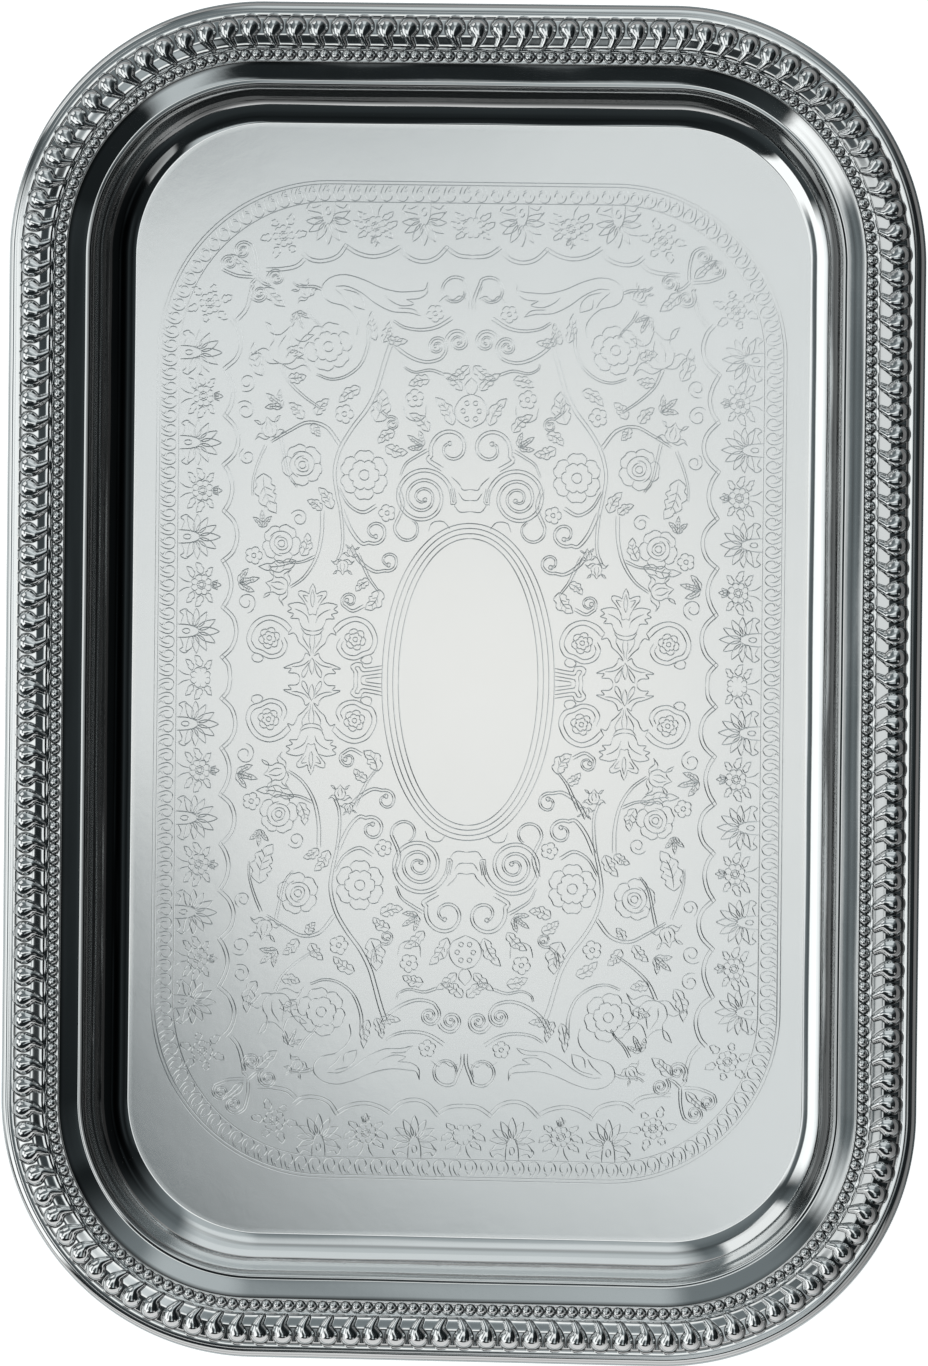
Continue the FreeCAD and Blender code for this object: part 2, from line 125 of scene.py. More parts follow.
def grid_faces(rows, columns, wrap_rows=False, wrap_columns=False, flip=False):
    """Quads of a rows by columns grid of vertices."""
    r = np.arange(rows if wrap_rows else rows - 1)
    c = np.arange(columns if wrap_columns else columns - 1)
    i, j = np.meshgrid(r, c, indexing="ij")
    i2, j2 = (i + 1) % rows, (j + 1) % columns
    corners = [i * columns + j, i2 * columns + j, i2 * columns + j2, i * columns + j2]
    quads = np.stack(corners, -1).reshape(-1, 4)
    if flip:
        quads = quads[:, ::-1]
    return quads.tolist()


def smoothstep(lo, hi, x):
    t = np.clip((x - lo) / (hi - lo), 0, 1)
    return t * t * (3 - 2 * t)


def hump(x, middle, width):
    """A smooth hump of height 1 at the middle."""
    return np.exp(-(((x - middle) / width) ** 2))


# ---------------------------------------------------------------- materials


def node(tree, kind, sockets=None, **values):
    """A node with its properties set; sockets gives its inputs, each a value or the output to link from."""
    made = tree.nodes.new(kind)
    for key, value in values.items():
        setattr(made, key, value)
    for key, value in (sockets or {}).items():
        if isinstance(value, bpy.types.NodeSocket):
            tree.links.new(value, made.inputs[key])
        else:
            made.inputs[key].default_value = value
    return made


def new_material(name):
    material = bpy.data.materials.new(name)
    material.use_nodes = True
    return material, material.node_tree


def noise(tree, place, scale, detail, roughness=0.5):
    sockets = {"Vector": place, "Scale": scale, "Detail": detail, "Roughness": roughness}
    return node(tree, "ShaderNodeTexNoise", sockets).outputs["Fac"]


def two_tones(tree, value, first, second):
    """A colour ramp between two stops, each a position and a colour."""
    made = node(tree, "ShaderNodeValToRGB", {"Fac": value})
    for element, (position, colour) in zip(made.color_ramp.elements, (first, second)):
        element.position = position
        element.color = (*colour, 1)
    return made.outputs["Color"]


def metal(name, tint, rough, rough_spread, bump, grain, scratch, darkest_shade=0.55, shade=True, haze=0.0):
    """Bright plate: mirror metal with cloudy roughness, faint hairlines and fine pitting, darkened where
    painted shade is given.
    """
    material, tree = new_material(name)
    place = node(tree, "ShaderNodeTexCoord").outputs["Object"]
    cloud = noise(tree, place, 38.0, 5.0, 0.6)
    # Hairlines: noise stretched along one slanting way.
    stretch = {"Vector": place, "Rotation": (0.0, 0.0, 0.5), "Scale": (60.0, 2200.0, 60.0)}
    hair = noise(tree, node(tree, "ShaderNodeMapping", stretch).outputs["Vector"], 1.0, 2.0)
    hair = two_tones(tree, hair, (0.62, (0, 0, 0)), (0.74, (1, 1, 1)))
    # Roughness: a soft cloudiness plus the hairlines.
    spread = {"Value": cloud, "From Min": 0.3, "From Max": 0.7, "To Min": rough,
              "To Max": rough + rough_spread}
    spread = node(tree, "ShaderNodeMapRange", spread).outputs["Result"]
    roughness = node(tree, "ShaderNodeMath", {0: hair, 1: scratch, 2: spread}, operation="MULTIPLY_ADD")
    # Colour: the plate's own tint, a little cloudy, darkened by painted shade in the creases and bands that a
    # vertex attribute gives.
    dim = (tint[0] * 0.975, tint[1] * 0.975, tint[2] * 0.972)
    colour = two_tones(tree, cloud, (0.3, dim), (0.72, tint))
    if shade:
        painted_shade = node(tree, "ShaderNodeAttribute", attribute_name="painted_shade").outputs["Fac"]
        # Where the painted shade is full, the colour falls to the darkest share given.
        deep = two_tones(tree, painted_shade, (0.0, (1, 1, 1)), (1.0, (darkest_shade, darkest_shade * 1.02, darkest_shade * 1.03)))
        colour = node(tree, "ShaderNodeMix", {"Factor": 1.0, "A": colour, "B": deep}, data_type="RGBA",
                      blend_type="MULTIPLY").outputs["Result"]
    # Bump: a very soft buffed waviness and fine pitting of the plate.
    normal = node(tree, "ShaderNodeBump", {"Strength": bump, "Distance": 0.0004,
                                           "Height": cloud}).outputs["Normal"]
    pits = {"Strength": bump, "Distance": 0.00001, "Height": noise(tree, place, grain, 4.0), "Normal": normal}
    normal = node(tree, "ShaderNodeBump", pits).outputs["Normal"]
    shader = tree.nodes["Principled BSDF"]
    shader.inputs["Metallic"].default_value = 1.0 - haze
    for key, value in (("Base Color", colour), ("Roughness", roughness.outputs["Value"]), ("Normal", normal)):
        tree.links.new(value, shader.inputs[key])
    return material


PLATE_TINT = (0.93, 0.945, 0.945)
# The flat floor is buffed less than the wall, so it keeps a slight satin haze, and the cuts keep some too.
FLOOR_HAZE, CUT_HAZE = 0.26, 0.18
plate = metal("plate_bright", PLATE_TINT, 0.035, 0.035, 0.05, 900.0, 0.03, darkest_shade=0.07)
floor_plate = metal("plate_floor", PLATE_TINT, 0.035, 0.035, 0.05, 900.0, 0.03, darkest_shade=0.07, haze=FLOOR_HAZE)
border_plate = metal("plate_border", PLATE_TINT, 0.04, 0.04, 0.08, 700.0, 0.03, darkest_shade=0.10)
# The cuts' tint is a little darker than the plate's, a painted shade in the cuts.
cut_plate = metal("plate_cut", (0.90, 0.915, 0.915), 0.07, 0.05, 0.06, 900.0, 0.03, shade=False,
                  haze=CUT_HAZE)
steel = metal("wire_steel", (0.55, 0.56, 0.57), 0.25, 0.12, 0.3, 500.0, 0.1, shade=False)

# ---------------------------------------------------------------- pan


HEM_WIDTH, HEM_FALL, CURL = 2.95, 2.5, 1.35
RIDGE_INSET = 28.9
FLOOR_RINGS = 7
# How far the skin stays inside the CAD part's outer edge.
CLEARANCE = 0.02


def wall_section():
    """The sheet's upper face as (inset, height) points, from the floor outwards to the end of the curl."""
    x, z, heading = 0.0, SHEET, 0.0
    points = [(x, z)]

    def run(length, pieces=1):
        nonlocal x, z
        for _ in range(pieces):
            x += length / pieces * math.cos(heading)
            z += length / pieces * math.sin(heading)
            points.append((x, z))

    def bend(side, radius, degrees, pieces):
        nonlocal x, z, heading
        cx, cz = x - side * radius * math.sin(heading), z + side * radius * math.cos(heading)
        for _ in range(pieces):
            heading += side * math.radians(degrees) / pieces
            x, z = cx + side * radius * math.sin(heading), cz - side * radius * math.cos(heading)
            points.append((x, z))

    run(3.0, 2)
    bend(1, 1.5, 18.0, 6)
    bend(1, 18.7, 62.0, 34)
    bend(-1, 0.9, 95.0, 14)
    run(0.4)
    bend(1, 1.0, 35.0, 7)
    shoulder = heading
    # The shoulder's straight run takes up what is left of the flange's height.
    left = FLANGE - z - 1.2 * (1 - math.cos(shoulder))
    run(left / math.sin(shoulder), 5)
    bend(-1, 1.2, 20.0, 5)
    points = np.array(points)
    inset = FLOOR_INSET + 3.0 - points[:, 0]
    section = list(zip(inset, points[:, 1]))
    # Flange, then the broad bevel of the rolled hem, its outer edge and its turned-under underside.
    section += [(d, FLANGE) for d in np.linspace(inset[-1] - 1.5, 3.6, 6)]
    for turn in np.linspace(8, 90, 22):
        a = math.radians(turn)
        section.append((HEM_WIDTH * (1 - math.sin(a)), FLANGE - HEM_FALL * (1 - math.cos(a))))
    d, h = section[-1]
    centre = (d + CURL, h)
    for turn in np.linspace(0, 205, 17)[1:]:
        a = math.radians(turn)
        section.append((centre[0] - CURL * math.cos(a), centre[1] - CURL * math.sin(a)))
    return np.array(section)


def offset(section, thickness):
    """The section's other face, at a thickness on its lower side."""
    t = np.gradient(section, axis=0)
    t /= np.linalg.norm(t, axis=1)[:, None]
    return section + thickness * np.stack([-t[:, 1], t[:, 0]], -1)


def wall_skin(section, points, normals, along):
    """The wall's skin with a drawn sheet's small unevenness, as an array of ring by section by 3."""
    period = 4 * QUARTER
    wave_a, wave_b = waves(along, 11, period, 6), waves(along, 12, period, 7)
    wave_c = waves(along, 13, period, 9)
    in_corner = 4 * normals[:, 0] ** 2 * normals[:, 1] ** 2
    rows = []
    for d, z in section:
        on_wall = smoothstep(FLOOR_INSET + 1, FLOOR_INSET - 3, d) * smoothstep(20, 24, d)
        on_hem = smoothstep(3.0, 1.5, d) * smoothstep(0.0, 0.5, d)
        drawn = 0.014 * math.sin(2 * math.pi * d / 1.9) + 0.010 * math.sin(2 * math.pi * d / 1.13 + 1.0)
        buckle = 0.11 * wave_a * math.sin(2 * math.pi * d / 19)
        buckle = buckle + 0.09 * wave_c * math.cos(2 * math.pi * d / 13)
        uneven = 0.12 * wave_a + drawn * (1 + 0.8 * wave_b) + (1 + 1.3 * in_corner) * buckle
        inset = d + on_wall * uneven + 0.07 * on_hem * wave_b
        height = z + 0.05 * on_wall * wave_b - 0.05 * on_hem * (1 + wave_c)
        rows.append(np.column_stack([points - normals * inset[:, None], height]))
    return np.stack(rows, 1)


def floor_skin(outer, numbers, base, flip):
    """Rings that shrink to the middle of the floor from its outer loop of vertices, numbered as given."""
    ring = len(outer)
    steps = np.linspace(1, 0, FLOOR_RINGS + 2)[1:-1]
    vertices = np.vstack([outer * [t, t, 1] for t in steps] + [[[0, 0, outer[0, 2]]]])
    faces, before = [], numbers
    for k in range(FLOOR_RINGS):
        here = base + k * ring + np.arange(ring)
        faces.append(np.stack([before, np.roll(before, -1), np.roll(here, -1), here], -1))
        before = here
    faces.append(np.stack([before, np.roll(before, -1), np.full(ring, base + FLOOR_RINGS * ring)], -1))
    return vertices, [face for run in faces for face in (run[:, ::-1] if flip else run).tolist()]


def wall_shade(d, normals, along):
    """How dark the plate is painted over the wall: painted shade in the creases, over the right-hand side's
    upper cove and shoulder, and in bands elsewhere.
    """
    period = 4 * QUARTER
    right, left = np.clip(normals[:, :1], 0, 1), np.clip(-normals[:, :1], 0, 1)
    far, near = np.clip(normals[:, 1:], 0, 1), np.clip(-normals[:, 1:], 0, 1)
    # Painted shade in the creases of the hem, just inside the border, along a line at the foot of the near
    # wall and at the ridge.
    crease = 1.3 * hump(d, 3.05, 0.22) + 0.75 * hump(d, 1.35, 0.10)
    crease = crease + 1.2 * (1 - 0.8 * right) * hump(d, 20.7, 0.3)
    crease += 0.62 * near ** 4 * hump(d, 37.9, 0.45)
    crease += 0.65 * left * hump(d, RIDGE_INSET - 1.2, 0.5)
    crease += (0.58 + 0.20 * left) * hump(d, RIDGE_INSET, 1.0 - 0.62 * near)
    # Painted shade over the upper cove and the shoulder on the right-hand wall, with darker painted streaks
    # running round.
    streak = 0.5 + 0.5 * np.sin(d * 8.3 + 0.7 * waves(along, 15, period, 6)[:, None])
    streak *= 0.75 + 0.25 * np.sin(d * 3.1 + 1.1)
    upper = smoothstep(34.7, 32.9, d + 1.5 * waves(along, 16, period, 8)[:, None]) * smoothstep(29.4, 30.0, d)
    shoulder = smoothstep(27.6, 27.0, d) * smoothstep(21.6, 22.2, d)
    painted_bands = smoothstep(0.55, 0.97, right) * (upper * (0.93 + 0.10 * streak) + 0.55 * shoulder * streak)
    # A shaded band on the far wall.
    painted_bands += 0.90 * smoothstep(0.6, 0.95, far) * smoothstep(35.4, 34.2, d) * smoothstep(29.8, 30.4, d)
    # On the left-hand wall the shade of the upper cove is broken by a few fine light lines.
    at = d + 0.35 * waves(along, 17, period, 5)[:, None]
    fine_lines = ((31.1, 0.16, 1.0), (32.9, 0.10, 0.8), (36.6, 0.22, 0.9), (37.3, 0.10, 0.7))
    lines = sum(share * hump(at, middle, width) for middle, width, share in fine_lines)
    cove = smoothstep(39.4, 38.2, d) * smoothstep(29.9, 30.5, d)
    painted_bands += 0.93 * smoothstep(0.6, 0.95, left) * cove * (1 - np.clip(lines, 0, 1))
    return np.clip(crease + painted_bands, 0, 1)


def make_pan():
    """The pressed sheet, both faces, as one closed skin."""
    upper = wall_section()
    upper[:, 0] += CLEARANCE - min(0.0, upper[:, 0].min())
    under = offset(upper, SHEET)
    under[:, 1] = np.maximum(under[:, 1], 0.0)
    section = np.vstack([upper, under[::-1]])
    points, normals, along = full_ring(5.0, 2.6)
    wall = wall_skin(section, points, normals, along)
    ring, count = wall.shape[:2]
    vertices = wall.reshape(-1, 3)
    faces = grid_faces(ring, count, wrap_rows=True, flip=True)
    for column, flip in ((0, False), (count - 1, True)):
        numbers = np.arange(ring) * count + column
        more_vertices, more_faces = floor_skin(wall[:, column], numbers, len(vertices), flip)
        vertices = np.vstack([vertices, more_vertices])
        faces += more_faces
    made = make_piece("pan", vertices, faces, plate, "plate")
    made.data.materials.append(floor_plate)
    on_floor = np.ones(len(vertices), bool)
    on_floor[: ring * count] = np.tile(section[:, 0], ring) > FLOOR_INSET - 0.05
    made.data.polygons.foreach_set("material_index", [int(on_floor[face].all()) for face in faces])
    # Painted shade for the wall's vertices, read by the plate's material; the floor's vertices get none.
    painted_shade = np.zeros(len(vertices))
    painted_shade[: ring * count] = wall_shade(section[:, 0], normals, along).reshape(-1)
    point_values(made, "painted_shade", painted_shade)
    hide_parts("tray_pan")


# ---------------------------------------------------------------- engraving
# One quadrant is drawn, as (u, v) across and along from the salver's centre, and mirrored to the other three.

BAND, FIELD, MEDALLION = [], [], []


def smooth(points, step=0.45):
    """A smooth line through the given points."""
    p = np.asarray(points, float)
    p = np.vstack([2 * p[0] - p[1], p, 2 * p[-1] - p[-2]])
    out = []
    for a, b, c, d in zip(p[:-3], p[1:-2], p[2:-1], p[3:]):
        count = max(2, int(np.hypot(*(c - b)) / step))
        t = np.linspace(0, 1, count, endpoint=False)[:, None]
        square, cube = 2 * a - 5 * b + 4 * c - d, 3 * b - a - 3 * c + d
        out.append(0.5 * (2 * b + (c - a) * t + square * t**2 + cube * t**3))
    out.append(p[-2][None])
    return np.vstack(out)


def curves(*runs):
    return [smooth(run) for run in runs]


def rotate(points, degrees, at):
    a = math.radians(degrees)
    p = np.asarray(points, float) @ np.array([[math.cos(a), math.sin(a)], [-math.sin(a), math.cos(a)]])
    return p + at


def parallel(line, gap):
    """The line moved sideways to its left by gap, which may vary along it."""
    t = np.gradient(line, axis=0)
    t /= np.maximum(1e-9, np.linalg.norm(t, axis=1))[:, None]
    return line + np.stack([-t[:, 1], t[:, 0]], -1) * np.asarray(gap).reshape(-1, 1)


def arc(centre, radius, start, end, squash=1.0):
    count = max(5, int(abs(math.radians(end - start)) * radius / 0.4))
    a = np.radians(np.linspace(start, end, count))
    return np.stack([centre[0] + radius * np.cos(a), centre[1] + squash * radius * np.sin(a)], -1)


def spiral(centre, outer, inner, start, turns):
    """A spiral from its outer end at the angle start; turns is positive anticlockwise."""
    count = max(12, int(abs(turns) * 2 * math.pi * (outer + inner) / 2 / 0.45))
    t = np.linspace(0, 1, count)
    a = np.radians(start) + turns * 2 * math.pi * t
    r = outer + (inner - outer) * t**0.85
    return np.stack([centre[0] + r * np.cos(a), centre[1] + r * np.sin(a)], -1)


def stem(points, gap=1.0):
    """Two lines either side of a smooth spine, closer at its end."""
    line = smooth(points)
    width = gap / 2 * np.linspace(1, 0.55, len(line))
    return [parallel(line, width), parallel(line, -width)]


def scroll(lead, centre, outer, start, turns, gap=1.0, inner=1.0, bud=True):
    """A stem that winds up into a spiral."""
    curl = spiral(centre, outer, inner, start, turns)
    line = np.vstack([smooth(np.vstack([lead, curl[:1]]))[:-1], curl]) if len(lead) else curl
    width = gap / 2 * np.linspace(1, 0.45, len(line))
    lines = [parallel(line, width), parallel(line, -width)]
    if bud:
        lines.append(arc(curl[-1], 0.75 * min(1.0, inner), 0, 360))
    return lines


def petal_ring(centre, radius, count, turn=0.0, depth=0.22, inner=0.45, heart=0.2, wave=0.0):
    """An open flower seen from above: scalloped petals, a smaller inner ring, a round heart."""
    lines = []
    for ring, (size, start) in enumerate(((radius, turn), (radius * inner * 1.25, turn + 180 / count))):
        if ring and inner == 0:
            break
        a = np.linspace(0, 2 * math.pi, count * (16 if ring == 0 else 10) + 1)
        bump = np.abs(np.sin(a * count / 2))
        r = size * (1 - depth + depth * bump**0.7 - wave * np.exp(-(((bump - 1) / 0.08) ** 2)))
        turned = a + math.radians(start)
        lines.append(np.stack([centre[0] + r * np.cos(turned), centre[1] + r * np.sin(turned)], -1))
    for k in range(count):
        a = math.radians(turn + 360 * k / count)
        direction = np.array([math.cos(a), math.sin(a)])
        lines.append(np.array([centre + direction * radius * t for t in (0.56, 0.66, 0.77)]))
    lines.append(arc(centre, radius * heart, 0, 360))
    return lines


def rose(centre, radius, turn=0.0):
    """A fuller flower: a bowl of petals folded over one another, with a few folds drawn in."""
    lines = petal_ring(centre, radius, 5, turn, 0.2, 0.0, 0.17, 0.06)
    folds = ((20, 150, 0.62), (140, 275, 0.55), (260, 395, 0.6),
             (60, 200, 0.36), (190, 330, 0.34), (320, 430, 0.38))
    for k, (start, end, share) in enumerate(folds):
        middle = (centre[0] + 0.3 * math.cos(k * 2.1), centre[1] + 0.3 * math.sin(k * 1.7))
        lines.append(arc(middle, radius * share, start + turn, end + turn))
    return lines


def leaf(base, tip, width, bend=0.0, lobes=3, vein=True):
    """A leaf from base to tip with a lobed edge and a midrib; bend bows it to the left."""
    base, tip = np.array(base, float), np.array(tip, float)
    along = tip - base
    length = np.hypot(*along)
    side = np.array([-along[1], along[0]]) / length
    t = np.linspace(0, 1, max(16, int(length / 0.35)))
    spine = base + along * t[:, None] + side * (bend * np.sin(math.pi * t))[:, None]
    form = np.sin(math.pi * t**0.75) ** 0.8
    teeth = 1 - 0.30 * np.abs(np.cos(math.pi * lobes * t)) ** 3 if lobes else 1
    half = width / 2 * form * teeth
    lines = [np.vstack([parallel(spine, half), parallel(spine, -half)[::-1]])]
    if vein:
        lines.append(spine[int(len(t) * 0.08): int(len(t) * 0.78)])
        for share in (0.3, 0.48, 0.64):
            k = int(share * len(t))
            for way in (1, -1):
                out = side * way * half[k] * 0.75 + along / length * width * 0.28
                lines.append(np.array([spine[k], spine[k] + 0.5 * out, spine[k] + out * 0.95]))
    return lines


# One half of a flower in profile, of height 1: cup, petal's curled back, middle petal, sepal and its fold.
TULIP = (
    [(0, 0), (0.28, 0.10), (0.42, 0.38), (0.36, 0.66), (0.50, 0.98), (0.74, 1.06)],
    [(0.74, 1.06), (0.50, 0.80), (0.22, 0.82), (0.0, 1.12)],
    [(0.1, 0.2), (0.17, 0.5), (0.05, 0.85)],
    [(0.0, 0.02), (0.35, -0.06), (0.66, 0.14), (0.9, 0.02)],
    [(0.9, 0.02), (0.62, 0.30), (0.40, 0.28)],
)


def tulip(base, size, turn):
    """A flower in profile: a cup with a curled petal each side, a middle petal, and two sepals."""
    return [rotate(smooth(np.array(run) * [way, 1] * size, 0.3), turn, base)
            for way in (1, -1) for run in TULIP]


def fan(base, turn, leaves, spread, length, width):
    """A fan of plain leaves round a base, the middle one a little longer."""
    lines = []
    for k in range(leaves):
        share = 2 * k / (leaves - 1) - 1
        a = math.radians(turn + share * spread / 2)
        reach = length * (1.12 - 0.22 * abs(share))
        tip = (base[0] + reach * math.cos(a), base[1] + reach * math.sin(a))
        root = (base[0] + 0.22 * length * math.cos(a), base[1] + 0.22 * length * math.sin(a))
        lines += leaf(root, tip, width * (1.1 - 0.2 * abs(share)), 0.25 * share * -width, 0, False)
    return lines


# Borders of the engraved panel: half width, half length and corner radius of each line.
OUTER_RULE, OUTER_TWIN, INNER_RULE = (109.5, 171.7, 60.0), (108.4, 170.6, 58.9), (101.8, 164.5, 52.2)


def rule_point(rule, inset, place):
    """A point on the panel's border: place is the distance along the rule from the long side's middle."""
    half_u, half_v, radius = rule
    side, bend = half_v - radius, radius * math.pi / 2
    if place < side:
        base, normal = np.array([half_u, place]), np.array([1.0, 0.0])
    elif place < side + bend:
        a = (place - side) / radius
        normal = np.array([math.cos(a), math.sin(a)])
        base = np.array([half_u - radius, half_v - radius]) + radius * normal
    else:
        base, normal = np.array([half_u - radius - (place - side - bend), half_v]), np.array([0.0, 1.0])
    return base - normal * inset, normal


def rule_line(rule):
    half_u, half_v, radius = rule
    total = (half_v - radius) + radius * math.pi / 2 + (half_u - radius)
    return np.array([rule_point(rule, 0.0, s)[0] for s in np.linspace(0, total, 240)])


# A bowed stroke, and an open ring that hangs beside it from the rule.
LOOP = (
    [(3.2, -1.0), (1.6, -1.75), (-0.2, -2.0), (-1.7, -1.2), (-2.2, 0.2), (-1.5, 1.5), (-0.2, 2.0), (1.0, 1.6),
     (1.35, 0.7)],
    [(3.2, 0.9), (2.1, 0.0), (0.8, -0.55), (-0.5, -0.5)],
    [(3.2, 1.7), (2.2, 1.0), (1.5, 1.9)],
)


def draw_loops():
    """The running row of open loops between the outer and inner rules."""
    half_u, half_v, radius = OUTER_TWIN
    side, bend, top = half_v - radius, radius * math.pi / 2, half_u - radius
    for length, count, start in ((side, 23, 0.0), (bend, 18, side), (top, 9, side + bend)):
        for k in range(count):
            place = start + (k + 0.5) * length / count
            at, normal = rule_point(OUTER_TWIN, 3.55, place)
            turn = math.degrees(math.atan2(normal[1], normal[0]))
            BAND.extend(rotate(smooth(stroke, 0.4), turn, at) for stroke in LOOP)


def placed(lines, on_side, along):
    """Band ornament drawn as (along, inwards) is set on the long side, or on the top."""
    for line in lines:
        line = np.asarray(line, float)
        if on_side:
            BAND.append(np.stack([INNER_RULE[0] - line[:, 1], along + line[:, 0]], -1))
        else:
            BAND.append(np.stack([along + line[:, 0], INNER_RULE[1] - line[:, 1]], -1))


def palmette():
    lines = [smooth([(way * 2.3, 0), (way * 2.2, 3), (way * 1.8, 5.4), (way * 0.9, 7.2)]) for way in (1, -1)]
    lines.append(arc((0, 3.2), 0.85, 0, 360, 1.6))
    lines += fan((0, 5.6), 90, 9, 218, 8.2, 2.5)
    hook = [(2.5, 1.2), (5.2, 2.2), (6.6, 0.9), (7.6, 2.8), (6.4, 4.4)]
    lines += [smooth(np.array(hook) * [way, 1]) for way in (1, -1)]
    return lines


def band_flower():
    lines = petal_ring(np.array([0.0, 8.4]), 3.6, 8, 0, 0.2, 0.35, 0.24)
    lines += fan((0, 11.2), 90, 3, 60, 3.6, 1.5)
    for way in (1, -1):
        lines += leaf((way * 3.6, 8.2), (way * 7.6, 6.4), 2.6, way * 0.5, 2, False)
        lines += leaf((way * 2.8, 10.6), (way * 6.0, 12.4), 2.2, way * -0.4, 2, False)
        lines += leaf((way * 2.4, 5.4), (way * 6.2, 3.2), 2.2, way * 0.5, 2, False)
        lines.append(smooth([(way * 0.8, 4.7), (way * 1.3, 2.4), (way * 2.6, 0.5)]))
    return lines


def draw_band():
    add = BAND.extend
    add(rule_line(rule) for rule in (OUTER_RULE, OUTER_TWIN, INNER_RULE))
    draw_loops()
    for on_side, palmettes, flowers in ((False, (17.0, 50.5), (34.0,)),
                                        (True, (16.0, 48.5, 81.0, 112.0), (32.0, 64.5, 97.0))):
        for along in palmettes:
            placed(palmette(), on_side, along)
        for along in flowers:
            placed(band_flower(), on_side, along)
    # Half flowers that the mirroring completes.
    half_flower = [line for line in band_flower() if line[:, 0].min() >= -0.1]
    petals = band_flower()[0]
    for lines in (half_flower, [petals[: len(petals) // 4 + 1], petals[3 * len(petals) // 4:]]):
        placed(lines, False, 0.0)
        placed(lines, True, 0.0)
    # Corner flowers.
    for centre, turn in (((66.0, 152.5), 20), ((91.5, 129.0), 70)):
        add(petal_ring(np.array(centre), 3.7, 8, turn, 0.2, 0.35, 0.24))
        for k in range(6):
            a = turn + 60 * k + 30
            tip = rotate([(8.2 if k % 3 else 6.6, 0)], a, centre)[0]
            root = rotate([(4.3, 0)], a, centre)[0]
            add(leaf(root, tip, 2.8, 0.4, 2, False))
    # Scalloped double line round the field.
    top = (
        [(0, 146.6), (5, 147.2), (9.3, 150.0)],
        [(9.3, 150.0), (13, 146.2), (17.2, 144.9), (21.6, 146.0), (25.7, 149.8)],
        [(25.7, 149.8), (30, 147.4), (35, 146.4), (40, 147.5), (44.5, 150.2)],
        [(44.5, 150.2), (47.5, 146.3), (52, 144.7), (56, 145.0), (59, 147.2)],
        [(59, 145.0), (62, 142.6), (67, 141.6), (72, 141.4)],
    )
    side = (
        [(83.6, 0), (84.2, 4), (86.8, 7.2)],
        [(86.8, 7.2), (83.0, 11), (81.6, 15.8), (82.8, 20.4), (86.6, 24.2)],
        [(86.6, 24.2), (84.4, 28), (83.5, 32.2), (84.5, 36.6), (86.8, 40.5)],
        [(86.8, 40.5), (83.0, 44), (81.6, 48.8), (82.8, 53.4), (86.6, 57.4)],
        [(86.6, 57.4), (84.4, 61), (83.5, 65.4), (84.5, 69.8), (86.8, 73.6)],
        [(86.8, 73.6), (83.0, 77.4), (81.6, 81.8), (82.8, 86.2), (86.6, 90.2)],
        [(86.6, 90.2), (84.4, 94), (83.5, 98.4), (84.6, 102.6), (86.8, 106.8)],
        [(86.8, 106.8), (82.6, 110.6), (81.0, 115.5), (82.2, 120.4), (84.6, 123.4)],
        [(82.4, 123.8), (79.4, 127.4), (78.0, 132.0), (77.4, 136.0)],
    )
    for run, way in [(run, -1) for run in top] + [(run, 1) for run in side]:
        line = smooth(run)
        add([line, parallel(line, 1.25 * way)])
    # Heart-shaped double scroll in the corner.
    add(scroll([(75.2, 138.4), (75.4, 144.0), (76.6, 148.4)], (80.2, 147.2), 3.2, 120, -1.4, inner=0.8))
    add(scroll([(76.6, 138.2), (82.0, 138.6), (86.6, 140.4)], (84.8, 143.0), 3.0, -40, 1.4, inner=0.8))
    add(leaf((77.2, 139.6), (84.6, 146.0), 3.2, 0.4, 2))


